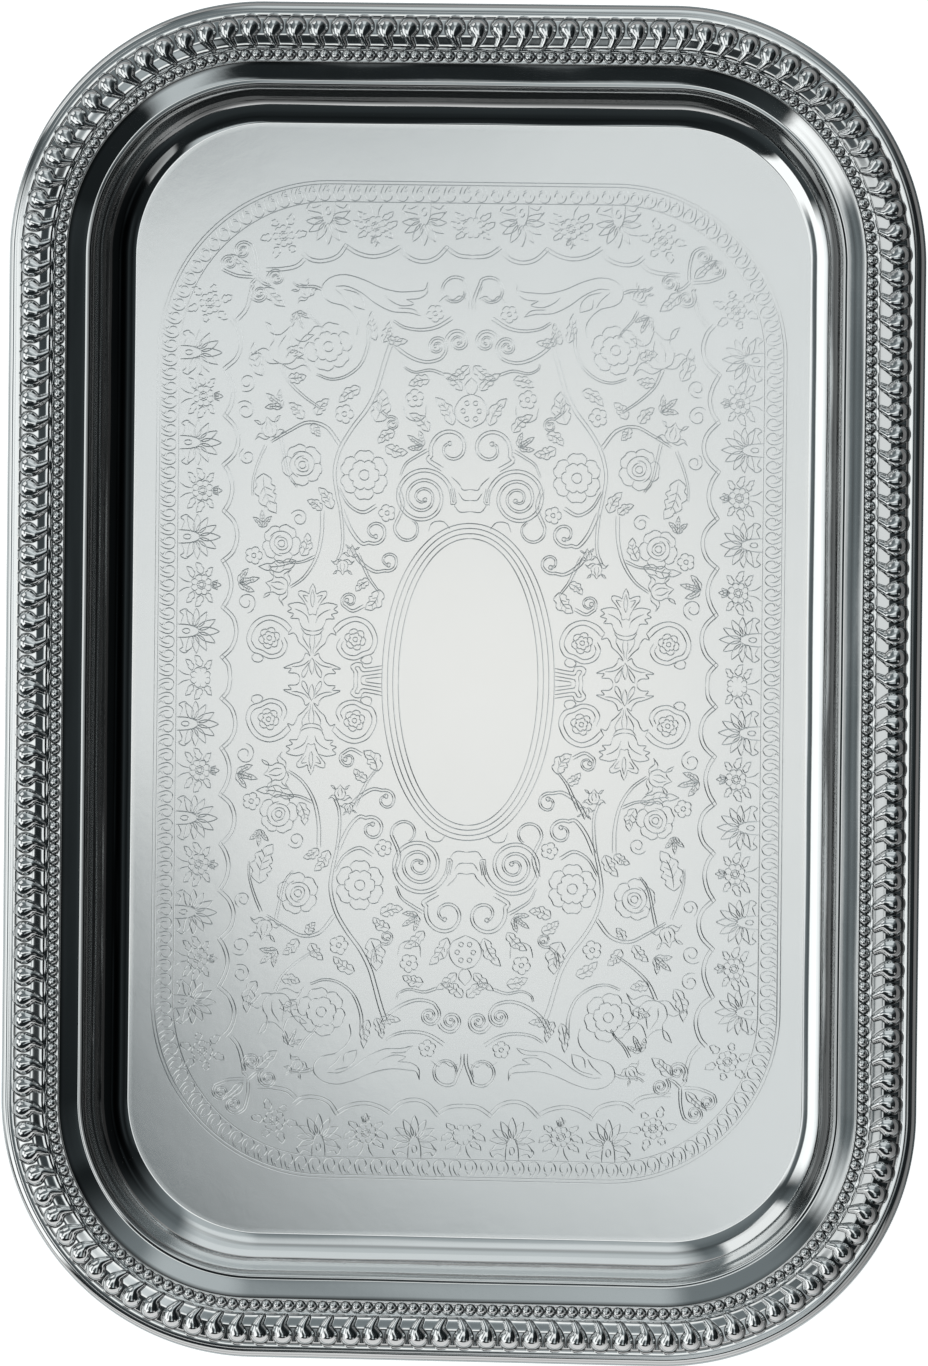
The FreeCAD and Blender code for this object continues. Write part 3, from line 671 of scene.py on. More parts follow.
def draw_field_top():
    add = FIELD.extend
    # Corner spirals and the leaf between them.
    add(scroll([(75.4, 138.4), (73.0, 136.2), (71.4, 135.6)], (68.4, 138.0), 3.4, -50, 1.6, 0.9, 0.7))
    add(scroll([(75.6, 137.6), (77.0, 136.0)], (74.2, 132.6), 3.5, 50, -1.6, 0.9, 0.7))
    add(leaf((72.4, 134.6), (65.2, 128.2), 4.4, 0.3, 2))
    # The large leaf under the top band.
    add(curves([(15.5, 137.2), (16.8, 134.6), (20.5, 134.0), (26, 133.8), (32, 135.2), (38, 137.8),
                (44, 139.4), (49, 138.6), (52.2, 135.8), (52.0, 132.2), (49.4, 129.9), (44.6, 128.6),
                (41.2, 125.8), (39.6, 122.4), (40.2, 118.6)],
               [(15.5, 137.2), (15.8, 133.6), (18.6, 131.6), (23.0, 131.2)],
               [(23.0, 131.2), (20.4, 129.6), (24.6, 129.0), (28.4, 130.6), (30.6, 132.6)],
               [(18.0, 125.6), (22.0, 126.6), (28.0, 127.0), (33.6, 129.6), (38.6, 133.2), (43.6, 135.4),
                (47.6, 135.4)],
               [(18.0, 125.6), (20.6, 127.8), (25.6, 128.2)],
               [(37.4, 127.4), (38.0, 130.8), (40.4, 133.2), (44.8, 134.4)],
               [(37.4, 127.4), (41.4, 128.8), (42.2, 132.0)],
               [(43.0, 129.0), (44.8, 131.8), (47.8, 134.4)]))
    add(stem([(52.4, 134.2), (55.4, 135.2), (60.4, 135.2), (62.6, 136.6)], 0.9))
    add(tulip((57.0, 131.6), 5.0, -35))
    add(stem([(57.6, 128.2), (55.6, 124.6), (52.6, 121.4), (50.8, 118.6)], 0.8))
    # Flower under the leaf, with the double line that sweeps round it.
    add(petal_ring(np.array([50.0, 114.6]), 8.6, 6, 12, 0.2, 0.5, 0.2, 0.05))
    add(stem([(35.8, 122.0), (36.2, 115.0), (38.8, 108.6), (43.6, 104.6), (49.0, 103.4), (54.0, 105.0)], 1.1))
    add(leaf((33.6, 117.0), (35.0, 127.0), 3.6, -0.5, 3))
    add(leaf((29.6, 117.6), (22.4, 117.0), 3.4, 0.6, 3))
    add(leaf((31.0, 116.4), (28.6, 123.6), 3.4, 0.4, 3))
    # Large lily on the outer side, its leaves turning in and out.
    add(tulip((66.6, 108.4), 12.0, 14))
    add(stem([(66.6, 108.4), (63.6, 102.4), (58.4, 97.4), (52.6, 93.4)], 1.1))
    add(leaf((58.6, 111.8), (64.4, 113.6), 4.0, 0.4, 3))
    add(leaf((72.8, 104.4), (76.0, 115.6), 4.6, -1.2, 3))
    add(leaf((64.0, 103.6), (57.6, 104.4), 4.0, 0.4, 3))
    # Double curve over the top centre, and its spirals.
    add(stem([(7.0, 125.0), (12.4, 121.8), (18.0, 120.8), (23.6, 121.6), (27.4, 123.8)], 1.2))
    add(scroll([(0.6, 128.0), (0.8, 132.0), (2.6, 136.8)], (6.2, 134.4), 4.9, 130, -0.95, 1.1, 3.4, False))
    add(curves([(2.2, 131.6), (4.6, 132.6), (7.0, 131.2), (9.0, 132.6), (11.6, 130.6)]))
    add(scroll([], (4.8, 117.0), 4.2, 10, 1.7, 1.0, 0.7))
    add(scroll([(29.6, 120.2), (26.4, 115.0), (21.4, 111.4), (16.0, 109.8), (11.2, 110.8)],
               (12.2, 115.2), 3.7, 215, -1.6, 1.2, 0.7))
    add(leaf((0.8, 108.6), (8.2, 104.0), 4.0, -0.8, 3))
    # Pomegranate-like bud on the axis, below the spirals.
    add(curves([(0.0, 99.0), (3.6, 97.4), (5.6, 93.6), (4.4, 89.6), (0.0, 87.2)],
               [(0.0, 104.6), (2.2, 102.0), (1.2, 99.2), (0.0, 98.8)]))
    add(arc((1.5 + 1.3 * (k % 2), 90.4 + 2.7 * k), 0.8, 0, 360) for k in range(3))
    add(leaf((6.4, 88.2), (12.4, 97.6), 4.6, 1.0, 3))
    add(leaf((3.2, 100.2), (10.0, 106.0), 3.6, 0.6, 3))
    add(stem([(9.6, 105.6), (14.4, 107.0), (19.6, 106.2), (23.0, 107.6), (23.8, 109.6)], 0.9))
    add(leaf((14.6, 103.8), (21.8, 101.6), 4.2, 0.6, 3))


def draw_field_middle():
    add = FIELD.extend
    # The main stem.
    add(stem([(27.6, 117.4), (29.6, 111.6), (31.6, 104.6), (33.4, 99.0), (36.6, 93.0), (41.4, 86.6),
              (45.4, 79.6), (47.2, 72.0), (46.4, 64.6), (45.0, 58.0), (44.2, 50.0), (44.6, 44.6),
              (46.2, 40.6)], 1.5))
    add(leaf((33.2, 89.0), (31.0, 100.2), 6.8, 1.0, 3))
    add(leaf((38.6, 100.4), (46.0, 95.4), 4.2, 0.8, 3))
    # Side branches with flowers.
    add(stem([(45.6, 81.0), (50.6, 87.0), (57.0, 88.4), (63.0, 85.6), (69.6, 81.6)], 1.2))
    add(rose(np.array([58.6, 73.8]), 7.4, 30))
    add(stem([(66.2, 83.0), (65.0, 77.6), (63.4, 70.6), (60.4, 66.0)], 1.0))
    add(leaf((54.0, 91.0), (49.6, 96.6), 4.0, -0.6, 3))
    add(leaf((58.6, 89.6), (63.6, 95.0), 4.0, 0.6, 3))
    add(leaf((55.0, 88.2), (52.4, 83.8), 3.4, 0.5, 3))
    add(tulip((69.6, 83.2), 6.4, -12))
    add(stem([(71.4, 80.4), (73.8, 74.8), (75.6, 68.6), (75.8, 63.0)], 0.9))
    add(leaf((72.2, 70.6), (67.4, 57.0), 7.6, 1.4, 4))
    # The big flower beside the stem.
    add(petal_ring(np.array([37.0, 70.6]), 8.8, 6, 0, 0.22, 0.5, 0.2, 0.06))
    add(stem([(32.6, 60.2), (37.4, 57.8), (42.4, 60.4), (45.8, 66.0)], 1.1))
    add(leaf((29.6, 80.6), (22.0, 78.6), 4.4, 0.8, 3))
    add(leaf((26.4, 85.4), (32.2, 81.6), 4.0, 0.9, 3))
    # Scrolls round the head of the oval.
    add(scroll([(32.4, 97.0), (31.6, 93.2)], (27.6, 88.4), 2.6, 60, 1.2, 0.9, 0.8))
    add(scroll([(9.8, 73.0), (14.6, 76.0)], (6.8, 80.2), 7.4, -20, 1.25, 1.4, 1.8))
    add(stem([(15.0, 79.6), (18.4, 77.6), (22.4, 74.8), (24.4, 70.6)], 1.0))
    add(scroll([(6.2, 66.4), (5.4, 62.0)], (16.6, 63.2), 10.6, 190, -2.9, 1.3, 1.2))
    add(scroll([(25.2, 66.8), (23.4, 60.2)], (21.6, 52.4), 4.6, 10, -0.7, 1.2, 3.2, False))
    add(curves([(0.0, 66.2), (2.6, 66.0), (4.0, 68.0), (6.6, 70.4)], [(0.0, 62.4), (2.4, 62.6), (4.2, 65.0)],
               [(0.0, 58.6), (3.6, 58.4), (5.6, 60.6)],
               [(7.0, 52.6), (9.4, 55.0), (13.0, 54.6), (14.4, 51.6)]))
    add(leaf((14.6, 86.0), (21.4, 92.0), 4.0, 0.8, 3))
    add(curves([(15.6, 95.0), (16.0, 91.2), (18.8, 89.4), (22.4, 90.6), (23.6, 94.6)]))


def draw_field_low():
    add = FIELD.extend
    add(scroll([(44.6, 58.6), (41.4, 51.6), (37.8, 47.2)], (33.0, 51.2), 4.4, -60, -1.1, 1.3, 1.7))
    add(scroll([(41.6, 46.4), (38.6, 41.2), (33.4, 37.6)], (28.2, 41.2), 3.6, -70, -1.05, 1.2, 1.4))
    add(tulip((44.2, 41.2), 4.6, 180))
    add(tulip((41.4, 42.6), 3.4, 10))
    add(stem([(39.0, 43.6), (36.6, 38.6), (34.6, 34.6), (31.4, 30.4)], 1.1))
    add(leaf((34.8, 34.4), (39.4, 30.6), 3.4, 0.6, 3))
    add(leaf((31.2, 31.2), (36.2, 24.4), 5.4, -1.2, 3))
    add(scroll([(36.6, 25.6), (40.6, 23.8)], (41.6, 27.4), 2.9, -40, 1.1, 1.0, 1.0))
    add(stem([(51.4, 58.0), (51.6, 49.6), (53.4, 41.8), (57.4, 35.4), (62.4, 31.6)], 1.3))
    add(rose(np.array([65.6, 46.6]), 6.9, 10))
    add(stem([(53.8, 42.4), (58.6, 40.4), (63.6, 40.0)], 0.9))
    add(leaf((60.4, 40.6), (73.6, 38.6), 4.2, -0.9, 3))
    add(leaf((58.6, 42.6), (56.6, 50.4), 4.2, 0.9, 3))
    add(tulip((63.2, 31.4), 7.2, -78))
    add(leaf((51.6, 58.4), (56.8, 61.6), 3.4, 0.5, 3))
    add(leaf((48.2, 58.8), (52.8, 66.0), 4.2, 0.7, 3))


ORNAMENT_AXIS = 54.5


def draw_side_ornament():
    """The upright ornament beside the oval, on the short axis; its lower half comes from mirroring."""
    half = curves(
        # Scroll that winds round a small flower, with a curled foot.
        [(7.2, 17.6), (10.2, 20.4), (15.2, 21.8), (20.2, 19.6), (22.8, 14.2), (21.4, 9.7), (18.2, 8.3),
         (14.6, 6.9), (10.6, 8.0), (8.6, 11.2), (9.8, 14.4)],
        [(8.4, 16.2), (11.4, 18.9), (15.2, 20.2), (19.0, 18.4), (21.2, 14.0), (20.0, 10.8), (17.6, 9.8),
         (14.6, 8.4), (11.6, 9.2), (10.2, 11.4), (10.9, 13.4)],
        [(18.2, 8.3), (17.0, 6.9), (18.4, 5.7), (20.4, 6.0), (21.0, 7.4), (20.2, 8.6)],
    )
    half += petal_ring(np.array([15.0, 14.0]), 3.7, 6, 15, 0.24, 0.5, 0.22)
    half += curves(
        # Crown: lily tip, side petals, a spreading leaf and the cup below them.
        [(0.0, 33.0), (0.9, 31.2), (1.3, 29.5), (2.6, 30.1), (4.6, 30.4), (4.9, 29.0), (3.6, 27.4),
         (2.4, 25.6)],
        [(0.0, 31.0), (0.6, 28.6), (0.5, 26.0), (0.0, 24.8)],
        [(1.5, 28.6), (2.4, 28.8), (3.4, 28.9), (2.8, 27.8), (1.8, 26.4)],
        [(2.4, 25.6), (5.2, 26.4), (8.6, 25.6), (7.4, 24.2), (8.8, 23.2), (6.6, 22.4), (7.6, 21.0),
         (5.0, 20.8), (4.4, 19.4)],
        [(1.2, 19.4), (2.0, 21.6), (3.9, 23.2), (6.2, 24.2)],
        [(0.0, 22.6), (1.2, 22.2), (1.6, 23.8), (2.4, 25.6)],
        [(4.4, 19.4), (3.4, 17.6), (1.6, 16.8), (0.0, 16.6)],
        [(4.0, 17.6), (2.6, 15.8), (1.0, 15.3), (0.0, 15.2)],
        # Bell of leaves that falls from the cup towards the lower flower.
        [(7.2, 17.6), (8.3, 15.4), (6.6, 15.9), (5.4, 14.6), (4.6, 12.6), (3.0, 11.2), (1.4, 9.4),
         (0.7, 8.0)],
        [(3.0, 16.4), (3.2, 14.4), (2.2, 12.4), (1.0, 10.6)],
        [(0.7, 15.2), (0.9, 12.6), (0.4, 10.2), (0.4, 8.6)],
        # Lower flower: curled leaves out to both sides, teardrop petals near the axis.
        [(0.7, 8.0), (2.2, 9.0), (2.8, 7.4), (4.2, 6.0), (6.6, 5.3), (9.9, 3.8), (7.2, 3.6), (8.2, 2.2),
         (5.6, 2.0), (4.4, 1.0), (4.2, 0.0)],
        [(1.0, 6.6), (2.6, 5.2), (5.0, 4.4), (7.0, 4.3)],
        [(1.0, 5.6), (2.4, 3.9), (3.4, 2.2), (3.2, 0.6), (2.2, 1.4), (1.4, 3.2), (1.0, 5.6)],
        [(0.0, 7.4), (0.8, 5.8), (0.7, 3.4), (0.0, 1.6)],
    )
    MEDALLION.extend(line * [way, 1] + [ORNAMENT_AXIS, 0] for line in half for way in (1, -1))
    # Bracket between the oval and the ornament.
    MEDALLION.extend(curves(
        [(29.8, 5.2), (33.6, 4.5), (36.4, 4.3), (37.2, 5.8), (39.4, 6.0), (40.9, 4.8), (40.6, 3.6),
         (39.8, 2.4), (39.9, 0.0)],
        [(30.0, 3.9), (34.0, 3.2), (37.0, 3.0), (38.0, 4.5), (39.2, 4.5), (39.3, 3.8), (38.5, 2.4),
         (38.6, 0.0)],
        [(30.2, 2.5), (34.6, 1.8), (37.0, 1.3), (37.3, 0.0)],
        [(30.2, 1.2), (33.8, 0.8), (35.6, 0.5), (35.8, 0.0)],
    ))


def draw_oval():
    for half_u, half_v in ((24.3, 49.3), (26.2, 51.0), (28.1, 52.8), (30.0, 54.5)):
        a = np.linspace(0, math.pi / 2, 110)
        MEDALLION.append(np.stack([half_u * np.cos(a) ** 0.96, half_v * np.sin(a) ** 0.96], -1))


def draw_fill():
    """Small scrolls, sprigs and blossoms wherever the field still has a bare place."""
    rng = np.random.default_rng(5)
    drawn = np.vstack(FIELD + BAND + MEDALLION)
    count = 0
    for v in np.arange(5.0, 138.0, 3.1):
        for u in np.arange(3.5, 84.0, 3.1):
            at = np.array([u, v]) + rng.uniform(-0.9, 0.9, 2)
            in_corner = at[0] > 58 and at[1] > 104 and np.hypot(at[0] - 58, at[1] - 104) > 25
            if in_corner or np.hypot(at[0] / 35, at[1] / 60) < 1:
                continue
            room = np.hypot(*(drawn - at).T).min()
            by_medallion = at[1] < 36 and at[0] > 33
            if room < (4.4 if by_medallion else 3.6):
                continue
            size = min(0.8 * room, 3.8)
            turn, hand = rng.uniform(0, 360), (-1, 1)[count % 2]
            if count % 3 == 0:
                made = [spiral(at, size, 0.3 * size, turn, hand * 1.35)]
            elif count % 3 == 1:
                made = []
                root = rotate([(-0.9 * size, 0)], turn, at)[0]
                for k in (-1, 0, 1):
                    reach = size * (1.15 - 0.2 * abs(k))
                    tip = rotate([(1.7 * reach, 0)], turn + 42 * k, root)[0]
                    made += leaf(root, tip, 0.62 * size, hand * 0.1 * size * k, 2, size > 3.0)
            else:
                made = petal_ring(at, 0.95 * size, 5, turn, 0.25, 0.0, 0.26)
            FIELD.extend(made)
            drawn = np.vstack([drawn] + made)
            count += 1


# Width of a cut, height of its lips, how far a lip's crest stands in from its edge, and how deep the edges
# are sunk.
CUT_WIDTH, LIP_HEIGHT, CUT_EDGE, SINK = 0.39, 0.028, 0.02, 0.004
# The graver leans the same way all over the salver: one wall of each cut is steeper than the other.
GRAVER_LEAN = np.array([-0.28, 0.30])


def cuts(lines):
    """Fine V-shaped cuts with a thrown-up lip on each side, in all four quadrants, as vertices and faces."""
    vertices, faces, base = [], [], 0
    for line in lines:
        line = np.asarray(line, float)
        line = line[np.append(True, np.linalg.norm(np.diff(line, axis=0), axis=1) > 1e-6)]
        if len(line) < 2:
            continue
        t = np.gradient(line, axis=0)
        t /= np.maximum(1e-9, np.linalg.norm(t, axis=1))[:, None]
        side = np.stack([-t[:, 1], t[:, 0]], -1)
        length = np.append(0, np.cumsum(np.linalg.norm(np.diff(line, axis=0), axis=1)))
        closed = np.linalg.norm(line[0] - line[-1]) < 0.05
        ends = np.minimum(length, length[-1] - length)
        swell = np.ones(len(line)) if closed or length[-1] > 60 else 0.5 + 0.5 * smoothstep(0, 1.6, ends)
        half = (CUT_WIDTH / 2 * swell)[:, None]
        low = np.full(len(line), SHEET - SINK)
        for _, sx, sy in QUARTERS:
            lean = (side * [sx, sy]) @ GRAVER_LEAN
            # The lips are worn lower towards the far end.
            lip = LIP_HEIGHT * swell * (1 - 0.5 * smoothstep(5.0, 125.0, sy * line[:, 1]))
            strip = np.stack([
                np.column_stack([line + side * half, low]),
                np.column_stack([line + side * (half - CUT_EDGE), SHEET + lip]),
                np.column_stack([line + side * half * lean[:, None], low + 0.005]),
                np.column_stack([line - side * (half - CUT_EDGE), SHEET + lip]),
                np.column_stack([line - side * half, low]),
            ], 1)
            vertices.append((strip * [sx, sy, 1]).reshape(-1, 3))
            faces += (np.array(grid_faces(len(line), 5, flip=sx * sy > 0)) + base).tolist()
            base += len(line) * 5
    return np.vstack(vertices), faces


def make_engraving():
    draws = (draw_band, draw_field_top, draw_field_middle, draw_field_low, draw_side_ornament, draw_oval,
             draw_fill)
    for draw in draws:
        draw()
    half, third = len(BAND) // 2, len(FIELD) // 3
    for name, lines in (("engraved_band_a", BAND[:half]), ("engraved_band_b", BAND[half:]),
                        ("engraved_field_a", FIELD[:third]), ("engraved_field_b", FIELD[third: 2 * third]),
                        ("engraved_field_c", FIELD[2 * third:]), ("engraved_medallion", MEDALLION)):
        make_piece(name, *cuts(lines), cut_plate, "plate", smooth=False)


# ---------------------------------------------------------------- border strips


# How many stand on a quarter's half of the long side, round its corner and on its half of the short side.
GADROONS, BEADS = (19, 16, 9), (38, 28, 18)
STRETCHES = (SIDE, BEND, TOP)
# Insets of the gadroon strip's edges, of the field between its lip and its collar, and of the bead strip's
# edges.
GADROON_STRIP, FIELD_FROM, FIELD_TO, BEAD_STRIP = (2.9, 16.2), 5.1, 15.1, (16.2, 20.5)
HEAD_INSET, BEAD_INSET, BEAD_RADIUS = 8.35, 18.15, 1.78
BORDER_FOOT = 0.5
HIDDEN = -9.0


def places(counts):
    """Distances of the gadroons' or beads' middles along a quarter."""
    runs = [(np.arange(count) + 0.5) * length / count for count, length in zip(counts, STRETCHES)]
    return np.concatenate([runs[0], SIDE + runs[1], SIDE + BEND + runs[2]])


# One gadroon's spine from its head to its tail: (offset along the rim, offset inwards, radius, height).
SPINE = np.array([
    (0.0, 0.0, 3.5, 2.45),
    (-0.30, 0.9, 3.1, 2.3),
    (-0.52, 1.9, 2.45, 2.05),
    (-0.45, 2.9, 1.85, 1.75),
    (-0.05, 4.0, 1.5, 1.5),
    (0.5, 5.1, 1.28, 1.3),
    (1.0, 6.05, 1.05, 1.1),
])


def spine_points():
    t = np.linspace(0, len(SPINE) - 1, 26)
    return np.stack([np.interp(t, np.arange(len(SPINE)), SPINE[:, k]) for k in range(4)], -1)


def squeeze(s, d):
    """Scale of lengths along the rim, which shrink inwards round the corner."""
    return np.where((s > SIDE) & (s < SIDE + BEND), (CORNER - d) / CORNER, 1.0)


def half_round(d, middle, radius):
    """Height of a round moulding across the strip, as a share of its own."""
    return np.sqrt(np.maximum(0, 1 - ((d - middle) / radius) ** 2))


def gadroon_height(s, d, seed):
    """Height over the flange, and how much painted shade, for grids of distance s and inset d."""
    rng = np.random.default_rng(seed)
    scale = squeeze(s, d)
    lobes, cover = np.full(s.shape, HIDDEN), np.zeros(s.shape)
    for place in places(GADROONS):
        near = np.abs(s[:, 0] - place) < 6.5
        size, tip = 1 + rng.uniform(-0.015, 0.015), rng.uniform(-0.10, 0.10)
        best, q_best = np.full(s[near].shape, HIDDEN), np.full(s[near].shape, 9.0)
        for ox, oy, radius, height in spine_points():
            ox = ox + tip * oy / 6
            q = np.hypot((s[near] - place) * scale[near] - ox, d[near] - HEAD_INSET - oy) / (radius * size)
            base = roof_height(HEAD_INSET + oy) - 0.25
            best = np.maximum(best, np.where(q < 1.1, base + height * dome(q), HIDDEN))
            q_best = np.minimum(q_best, q)
        lobes[near] = np.maximum(lobes[near], best)
        # Painted shade round each gadroon's outline.
        cover[near] = np.maximum(cover[near], 1 - smoothstep(0.03, 0.11, np.abs(q_best - 1.0)))
    # The collar waves a little in step with the gadroons.
    phase = np.interp(s, (0, SIDE, SIDE + BEND, QUARTER), (0, *np.cumsum(GADROONS)))
    collar = 0.95 + 0.45 * half_round(d, 15.6 + 0.132 * np.cos(2 * math.pi * phase), 0.42)
    height = np.where(d < FIELD_FROM, 0.35 + 0.18 * half_round(d, 3.95, 1.1), roof_height(d))
    height = np.where(d > FIELD_TO, np.maximum(0.95, collar), height)
    height = np.where(np.abs(d - FIELD_FROM - 0.02) < 0.16, np.minimum(height, 0.25), height)
    # Painted shade round the gadroons and along both edges of the field.
    painted_shade = 0.9 * (cover + hump(d, FIELD_FROM + 0.05, 0.25) + hump(d, FIELD_TO - 0.05, 0.22))
    return np.maximum(height, lobes), np.clip(painted_shade, 0, 1)


def roof_height(d):
    """The field under the gadroons: it rises inwards to a ridge and falls again to the collar."""
    out = 1.10 + (d - FIELD_FROM) * math.tan(math.radians(12.0))
    into = 1.62 + 0.05 * np.logaddexp(0, (14.3 - d) * math.tan(math.radians(13.0)) / 0.05)
    return -np.logaddexp(-out * 9, -into * 9) / 9


def dome(q):
    """1 in the middle, 0 at q = 1, with an edge slope near 65 degrees on a gadroon's head."""
    return (np.sqrt(np.maximum(0, 1.17 - q * q)) - 0.412) / (math.sqrt(1.17) - 0.412)


def bead_height(s, d, seed):
    """The same for the beads, which stand on a flat ground between a step and a fine lip."""
    rng = np.random.default_rng(seed)
    scale = squeeze(s, d)
    height = np.where(d > 19.9, BORDER_FOOT + 0.42 * half_round(d, 20.2, 0.28), BORDER_FOOT)
    height = np.where(d < 16.45, 0.75, height)
    lobes, cover = np.full(s.shape, HIDDEN), np.zeros(s.shape)
    for place in places(BEADS):
        near = np.abs(s[:, 0] - place) < 3.0
        off = s[near] - place + rng.uniform(-0.06, 0.06)
        q = np.hypot(off * scale[near], d[near] - BEAD_INSET) / (BEAD_RADIUS * (1 + rng.uniform(-0.02, 0.02)))
        lobes[near] = np.maximum(lobes[near], np.where(q < 1.08, BORDER_FOOT + 1.45 * dome(q), HIDDEN))
        # Painted shade round each bead's outline.
        cover[near] = np.maximum(cover[near], 1 - smoothstep(0.05, 0.16, np.abs(q - 1.02)))
    return np.maximum(height, lobes), np.clip(cover, 0, 1)


def soften(height):
    """The dies' edges are a little soft: each height leans a little on its neighbours' both ways."""
    for _ in range(2):
        soft = height.copy()
        soft[1:-1] = 0.15 * height[:-2] + 0.7 * height[1:-1] + 0.15 * height[2:]
        height = soft.T
    return height


def make_strip(kind, quarter, sx, sy, shape, span, pitch, slot, seed):
    """One quarter of a border strip as a closed height field on the flange; span is its two insets."""
    s = np.linspace(0, QUARTER, int(QUARTER / pitch) + 1)
    d = np.linspace(*span, int((span[1] - span[0]) / pitch) + 1)
    grid_s, grid_d = np.meshgrid(s, d, indexing="ij")
    height, painted_shade = shape(grid_s, grid_d, seed)
    height = soften(height)
    points, normals = edge(s)
    if sx > 0 and kind == "gadroons":
        # Painted shade on the right-hand field between the tails, which is darker than the gadroons.
        field = smoothstep(9.3, 10.3, grid_d) * smoothstep(15.4, 15.0, grid_d)
        field *= height < roof_height(grid_d) + 0.06
        painted_shade = np.maximum(painted_shade, 0.3 * field * np.clip(normals[:, :1], 0, 1))
    plan = points[:, None] - normals[:, None] * d[None, :, None]
    top = np.concatenate([plan, (FLANGE + height)[..., None]], -1)
    foot = np.concatenate([plan, np.full((*height.shape, 1), FLANGE)], -1)
    skin = np.concatenate([foot[:, :1], top, foot[:, -1:]], 1) * [sx, sy, 1]
    rows, columns = skin.shape[:2]
    flip = sx * sy > 0
    faces = grid_faces(rows, columns, wrap_columns=True, flip=not flip)
    # The end caps have vertices of their own, so that the strip's shading runs on to its very end.
    first_cap, last_cap = (list(range(row * columns, (row + 1) * columns)) for row in (rows, rows + 1))
    faces += [first_cap, last_cap[::-1]] if flip else [first_cap[::-1], last_cap]
    vertices = np.concatenate([skin.reshape(-1, 3), skin[0], skin[-1]])
    made = make_piece(f"{kind}_{quarter}", vertices, faces, border_plate, "border")
    for cap in (-1, -2):
        made.data.polygons[cap].use_smooth = False
    value = np.zeros((rows + 2, columns))
    value[:rows, 1:-1] = painted_shade
    point_values(made, "painted_shade", value)
    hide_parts(f"{slot}_{quarter}")


make_pan()
make_engraving()
for number, (quarter, sx, sy) in enumerate(QUARTERS):
    side = (quarter, sx, sy)
    make_strip("gadroons", *side, gadroon_height, GADROON_STRIP, 0.235, "gadroon_border", 40 + number)
    make_strip("beads", *side, bead_height, BEAD_STRIP, 0.20, "bead_border", 60 + number)

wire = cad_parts["rim_wire"]
wire.data.materials.clear()
wire.data.materials.append(steel)

# ---------------------------------------------------------------- studio


# The tent's radius, and how far off the zenith its tones run, in degrees.
TENT_RADIUS, TENT_SPAN = 2200.0, 120
WINDOW_SOFTNESS = 0.09


def linear(value):
    """A display value out of 255 as linear light."""
    return (value / 255) ** 2.2


def emission(name, colour):
    """A material that only glows; colour makes the node output it glows with."""
    material, tree = new_material(name)
    tree.nodes.clear()
    light = node(tree, "ShaderNodeEmission", {"Color": colour(tree)})
    node(tree, "ShaderNodeOutputMaterial", {"Surface": light.outputs["Emission"]})
    return material


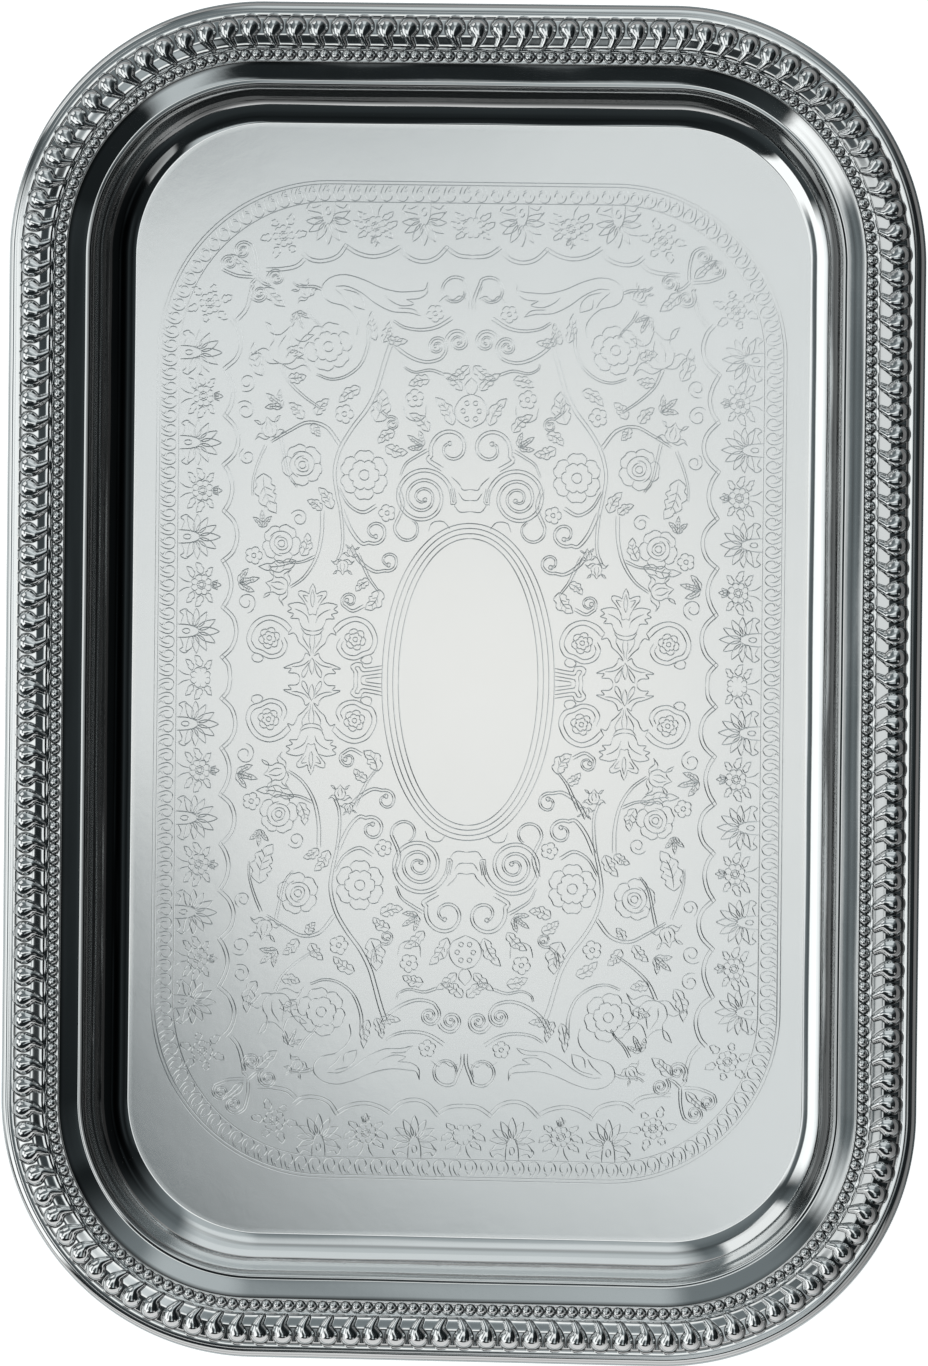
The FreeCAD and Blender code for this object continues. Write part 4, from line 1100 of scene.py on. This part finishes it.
def tent_colour(tree):
    """The tent's brightness by direction, different on each of the four sides."""
    place = node(tree, "ShaderNodeTexCoord").outputs["Object"]
    unit = node(tree, "ShaderNodeVectorMath", {0: place}, operation="NORMALIZE").outputs["Vector"]
    x, y, z = node(tree, "ShaderNodeSeparateXYZ", {"Vector": unit}).outputs

    def maths(operation, *values):
        return node(tree, "ShaderNodeMath", dict(enumerate(values)), operation=operation).outputs["Value"]

    def weighted(*terms):
        """The sum of x, y and z, each times its own number."""
        parts = [maths("MULTIPLY", axis, share) for axis, share in zip((x, y, z), terms)]
        total = parts[0]
        for part in parts[1:]:
            total = maths("ADD", total, part)
        return total

    def soft_step(value, low, high):
        sockets = {"Value": value, "From Min": low, "From Max": high}
        return node(tree, "ShaderNodeMapRange", sockets, interpolation_type="SMOOTHSTEP").outputs["Result"]

    def blend(factor, a, b, kind="RGBA"):
        return node(tree, "ShaderNodeMix", {"Factor": factor, "A": a, "B": b},
                    data_type=kind).outputs["Result"]

    def colour_node(colour):
        made = node(tree, "ShaderNodeRGB")
        made.outputs["Color"].default_value = (*colour, 1)
        return made.outputs["Color"]

    angle = maths("DIVIDE", maths("ARCCOSINE", z), math.radians(TENT_SPAN))
    flat = maths("ADD", maths("MULTIPLY", x, x), maths("MULTIPLY", y, y))
    across = maths("DIVIDE", maths("MULTIPLY", x, x), maths("MAXIMUM", flat, 1e-6))

    def ramp(stops):
        """Brightness by the angle off the zenith; the dark tones are slightly cold."""
        made = node(tree, "ShaderNodeValToRGB", {"Fac": angle})
        elements = made.color_ramp.elements
        for degrees, value in stops[1:-1]:
            elements.new(degrees / TENT_SPAN)
        for element, (degrees, value) in zip(elements, stops):
            element.position = degrees / TENT_SPAN
            light, cold = linear(value), max(0.0, 1 - value / 255)
            element.color = (light * (0.975 - 0.20 * cold), light, light * (1.0 + 0.09 * cold), 1)
        return made.outputs["Color"]

    def window(turn, half_width, low, high, value, below):
        """A square light: turn is its bearing, low and high its angles off the zenith."""
        a = math.radians(turn)
        reach = math.tan(math.radians(half_width))
        aside = maths("ABSOLUTE", weighted(-math.sin(a), math.cos(a)))
        ratio = maths("DIVIDE", aside, maths("MAXIMUM", weighted(math.cos(a), math.sin(a)), 1e-4))
        inside = soft_step(ratio, reach + WINDOW_SOFTNESS, reach)
        for outer, inner in ((low - 1.5, low), (high + 1.5, high)):
            inside = maths("MULTIPLY", inside, soft_step(angle, outer / TENT_SPAN, inner / TENT_SPAN))
        light = linear(value)
        return blend(inside, below, colour_node((light * 0.98, light, light)))

    on_right, on_far = maths("GREATER_THAN", x, 0.0), maths("GREATER_THAN", y, 0.0)
    far_left = maths("MULTIPLY", on_far, maths("SUBTRACT", 1.0, on_right))
    share = blend(far_left, soft_step(across, 0.12, 0.88), soft_step(across, 0.70, 0.98), "FLOAT")
    colour = blend(share, blend(on_far, ramp(NEAR_BROAD), ramp(FAR_BROAD)),
                   blend(on_right, ramp(LEFT_BROAD), ramp(RIGHT_BROAD)))
    for light in WINDOWS:
        colour = window(*light, colour)
    # Close to the four axes, where the straight walls and borders look, each side has its own finer pattern.
    x_side = blend(on_right, ramp(LEFT_LIGHT), ramp(RIGHT_LIGHT))
    y_side = blend(on_far, ramp(NEAR_LIGHT), ramp(FAR_LIGHT))
    colour = blend(soft_step(across, 0.88, 0.98), colour, x_side)
    colour = blend(soft_step(across, 0.20, 0.03), colour, y_side)
    # One broad soft light overhead, brightest at its middle.
    turn, tilt, half_width = (math.radians(value) for value in OVERHEAD_PLACE)
    facing = weighted(math.sin(tilt) * math.cos(turn), math.sin(tilt) * math.sin(turn), math.cos(tilt))
    off_middle = maths("ARCCOSINE", maths("MINIMUM", facing, 1.0))
    return blend(soft_step(off_middle, half_width, 0.0), colour, colour_node(OVERHEAD_LIGHT))


# Brightness of the tent by degrees off the zenith, as display values out of 255.
LEFT_LIGHT = [(0, 245), (9, 238), (18, 250), (34, 250), (42, 236), (44.5, 115), (50, 85), (53, 105),
              (55.5, 262), (72, 275), (80, 235), (88, 160), (92, 185), (104, 215), (120, 215)]
RIGHT_LIGHT = [(0, 245), (4, 160), (9, 66), (22, 60), (30, 26), (39, 50), (44, 30), (50, 18), (57, 20),
               (63, 44), (80, 50), (84, 28), (87, 85), (90, 66), (93, 62), (120, 75)]
FAR_LIGHT = [(0, 245), (6, 232), (14, 205), (20, 165), (27, 178), (34, 178), (38, 216), (50, 218),
             (53, 200), (60, 192), (65, 196), (68, 212), (87, 214), (92, 130), (104, 140), (120, 125)]
NEAR_LIGHT = [(0, 245), (5, 246), (9, 236), (12, 150), (17, 165), (22, 190), (32.5, 188), (35.2, 40),
              (46, 28), (60, 46), (75, 52), (86, 50), (90, 150), (104, 190), (120, 185)]
# The same for directions between the axes, as the rounded gadroons and beads see them.
LEFT_BROAD = [(0, 245), (12, 238), (16, 110), (20, 90), (36, 80), (44, 46), (58, 42), (70, 56), (86, 68),
              (91, 120), (98, 215), (120, 215)]
RIGHT_BROAD = [(0, 245), (3, 190), (7, 60), (12, 34), (58, 34), (70, 48), (86, 58), (90, 70), (104, 70),
               (120, 85)]
FAR_BROAD = [(0, 245), (9, 238), (13, 155), (18, 122), (38, 116), (46, 102), (60, 98), (86, 125), (92, 150),
             (120, 130)]
NEAR_BROAD = [(0, 245), (10, 238), (13, 160), (16, 44), (20, 36), (58, 36), (70, 50), (86, 64), (91, 115),
              (98, 195), (120, 190)]
# Square lights: bearing, half width, angles off the zenith, brightness.
WINDOWS = [(204, 13, 36, 68, 265), (322, 12, 82, 104, 175), (138, 12, 56, 86, 240), (312, 7, 38, 54, 160)]
# The broad soft light overhead: its bearing, angle off the zenith and half width in degrees, and its colour.
OVERHEAD_PLACE = (194, 9, 6)
OVERHEAD_LIGHT = (1.07, 1.06, 1.03)


def hide_light(made):
    """A light shape shows only in reflections and by the light it gives."""
    made.visible_camera = False
    made.visible_shadow = False


def make_tent():
    """A wide sphere of light round the salver."""
    rings, around = 48, 96
    tilt = np.linspace(0, math.pi, rings + 1)[:, None]
    turn = np.arange(around) * 2 * math.pi / around
    sphere = [np.sin(tilt) * np.cos(turn), np.sin(tilt) * np.sin(turn), np.cos(tilt) + 0 * turn]
    vertices = TENT_RADIUS * np.stack(sphere, -1)
    faces = grid_faces(rings + 1, around, wrap_columns=True, flip=True)
    hide_light(make_object("tent", vertices.reshape(-1, 3), faces, emission("tent_light", tent_colour)))


# Distance of the card from the rim, and its height and brightness on the right, left, far and near sides.
CARD_GAP = 70.0
CARD_HEIGHT = (80.0, 9.6, 60.0, 105.0)
CARD_LIGHT = (112, 215, 150, 212)
CARD_FOOT = 0.35


def make_card():
    """A low upright card round the salver, outside the picture, for the rim to mirror, dark at its foot."""
    points, normals, _ = full_ring(12.0, 8.0)
    plan = points + CARD_GAP * normals
    weight = np.stack([normals[:, 0], -normals[:, 0], normals[:, 1], -normals[:, 1]], -1).clip(0) ** 2
    heights = [np.full(len(plan), height) for height in (0.5, 7.0, 9.0)] + [weight @ np.array(CARD_HEIGHT)]
    vertices = np.stack([np.column_stack([plan, height]) for height in heights], 1).reshape(-1, 3)
    faces = grid_faces(len(plan), len(heights), wrap_rows=True, flip=True)

    def glow(tree):
        return node(tree, "ShaderNodeAttribute", attribute_name="glow").outputs["Color"]

    card = make_object("card", vertices, faces, emission("card_light", glow))
    shade = weight @ np.array(CARD_LIGHT)
    point_values(card, "glow", linear(shade[:, None] * [CARD_FOOT, CARD_FOOT, 1.0, 1.0]))
    card.visible_diffuse = False
    hide_light(card)


# Half the floor's width, and how far it lies under the salver.
FLOOR_REACH, FLOOR_DROP = 60000.0, 0.2


def make_floor():
    """A plain pale floor, very wide, which glows a little to stay pale under the tent's dark parts."""
    material, tree = new_material("studio_floor")
    cloud = noise(tree, node(tree, "ShaderNodeTexCoord").outputs["Object"], 3.0, 2.0)
    shader = tree.nodes["Principled BSDF"]
    tree.links.new(two_tones(tree, cloud, (0.0, (0.86, 0.86, 0.86)), (1.0, (0.90, 0.90, 0.90))),
                   shader.inputs["Base Color"])
    for key, value in (("Roughness", 0.9), ("Specular IOR Level", 0.1), ("Emission Color", (1, 1, 1, 1)),
                       ("Emission Strength", 0.92)):
        shader.inputs[key].default_value = value
    ways = ((-1, -1), (1, -1), (1, 1), (-1, 1))
    corners = [(x * FLOOR_REACH, y * FLOOR_REACH, -FLOOR_DROP) for x, y in ways]
    made = make_object("floor", corners, [(0, 1, 2, 3)], material)
    made.visible_glossy = False


# The camera's distance in metres, its lean to +X and +Y and its roll in degrees, and its lens in millimetres.
CAMERA_DISTANCE, CAMERA_LEAN, CAMERA_ROLL, CAMERA_LENS = 5.8455, (9.027, 2.223), 0.623, 448.9
# The height in metres that the camera looks at, over the middle of the salver.
CAMERA_AIM = 0.010


def make_camera():
    """The long view from almost straight above, leaning to +X and a little to +Y."""
    out = Vector((*(math.tan(math.radians(lean)) for lean in CAMERA_LEAN), 1.0)).normalized()
    across = Vector((0, 1, 0)).cross(out).normalized()
    up = out.cross(across)
    roll = math.radians(CAMERA_ROLL)
    right = across * math.cos(roll) + up * math.sin(roll)
    top = up * math.cos(roll) - across * math.sin(roll)
    data = bpy.data.cameras.new("camera")
    data.sensor_width, data.lens = 36.0, CAMERA_LENS
    data.clip_start, data.clip_end = 0.5, 100.0
    camera = bpy.data.objects.new("camera", data)
    turn = Matrix((right, top, out)).transposed().to_4x4()
    camera.matrix_world = Matrix.Translation(out * CAMERA_DISTANCE + Vector((0, 0, CAMERA_AIM))) @ turn
    bpy.context.scene.collection.objects.link(camera)
    bpy.context.scene.camera = camera


def make_world():
    world = bpy.data.worlds.new("studio")
    world.use_nodes = True
    background = world.node_tree.nodes["Background"]
    background.inputs["Color"].default_value = (1, 1, 1, 1)
    background.inputs["Strength"].default_value = 1.0
    bpy.context.scene.world = world
    bpy.context.scene.view_settings.view_transform = "Standard"


make_tent()
make_card()
make_floor()
make_camera()
make_world()
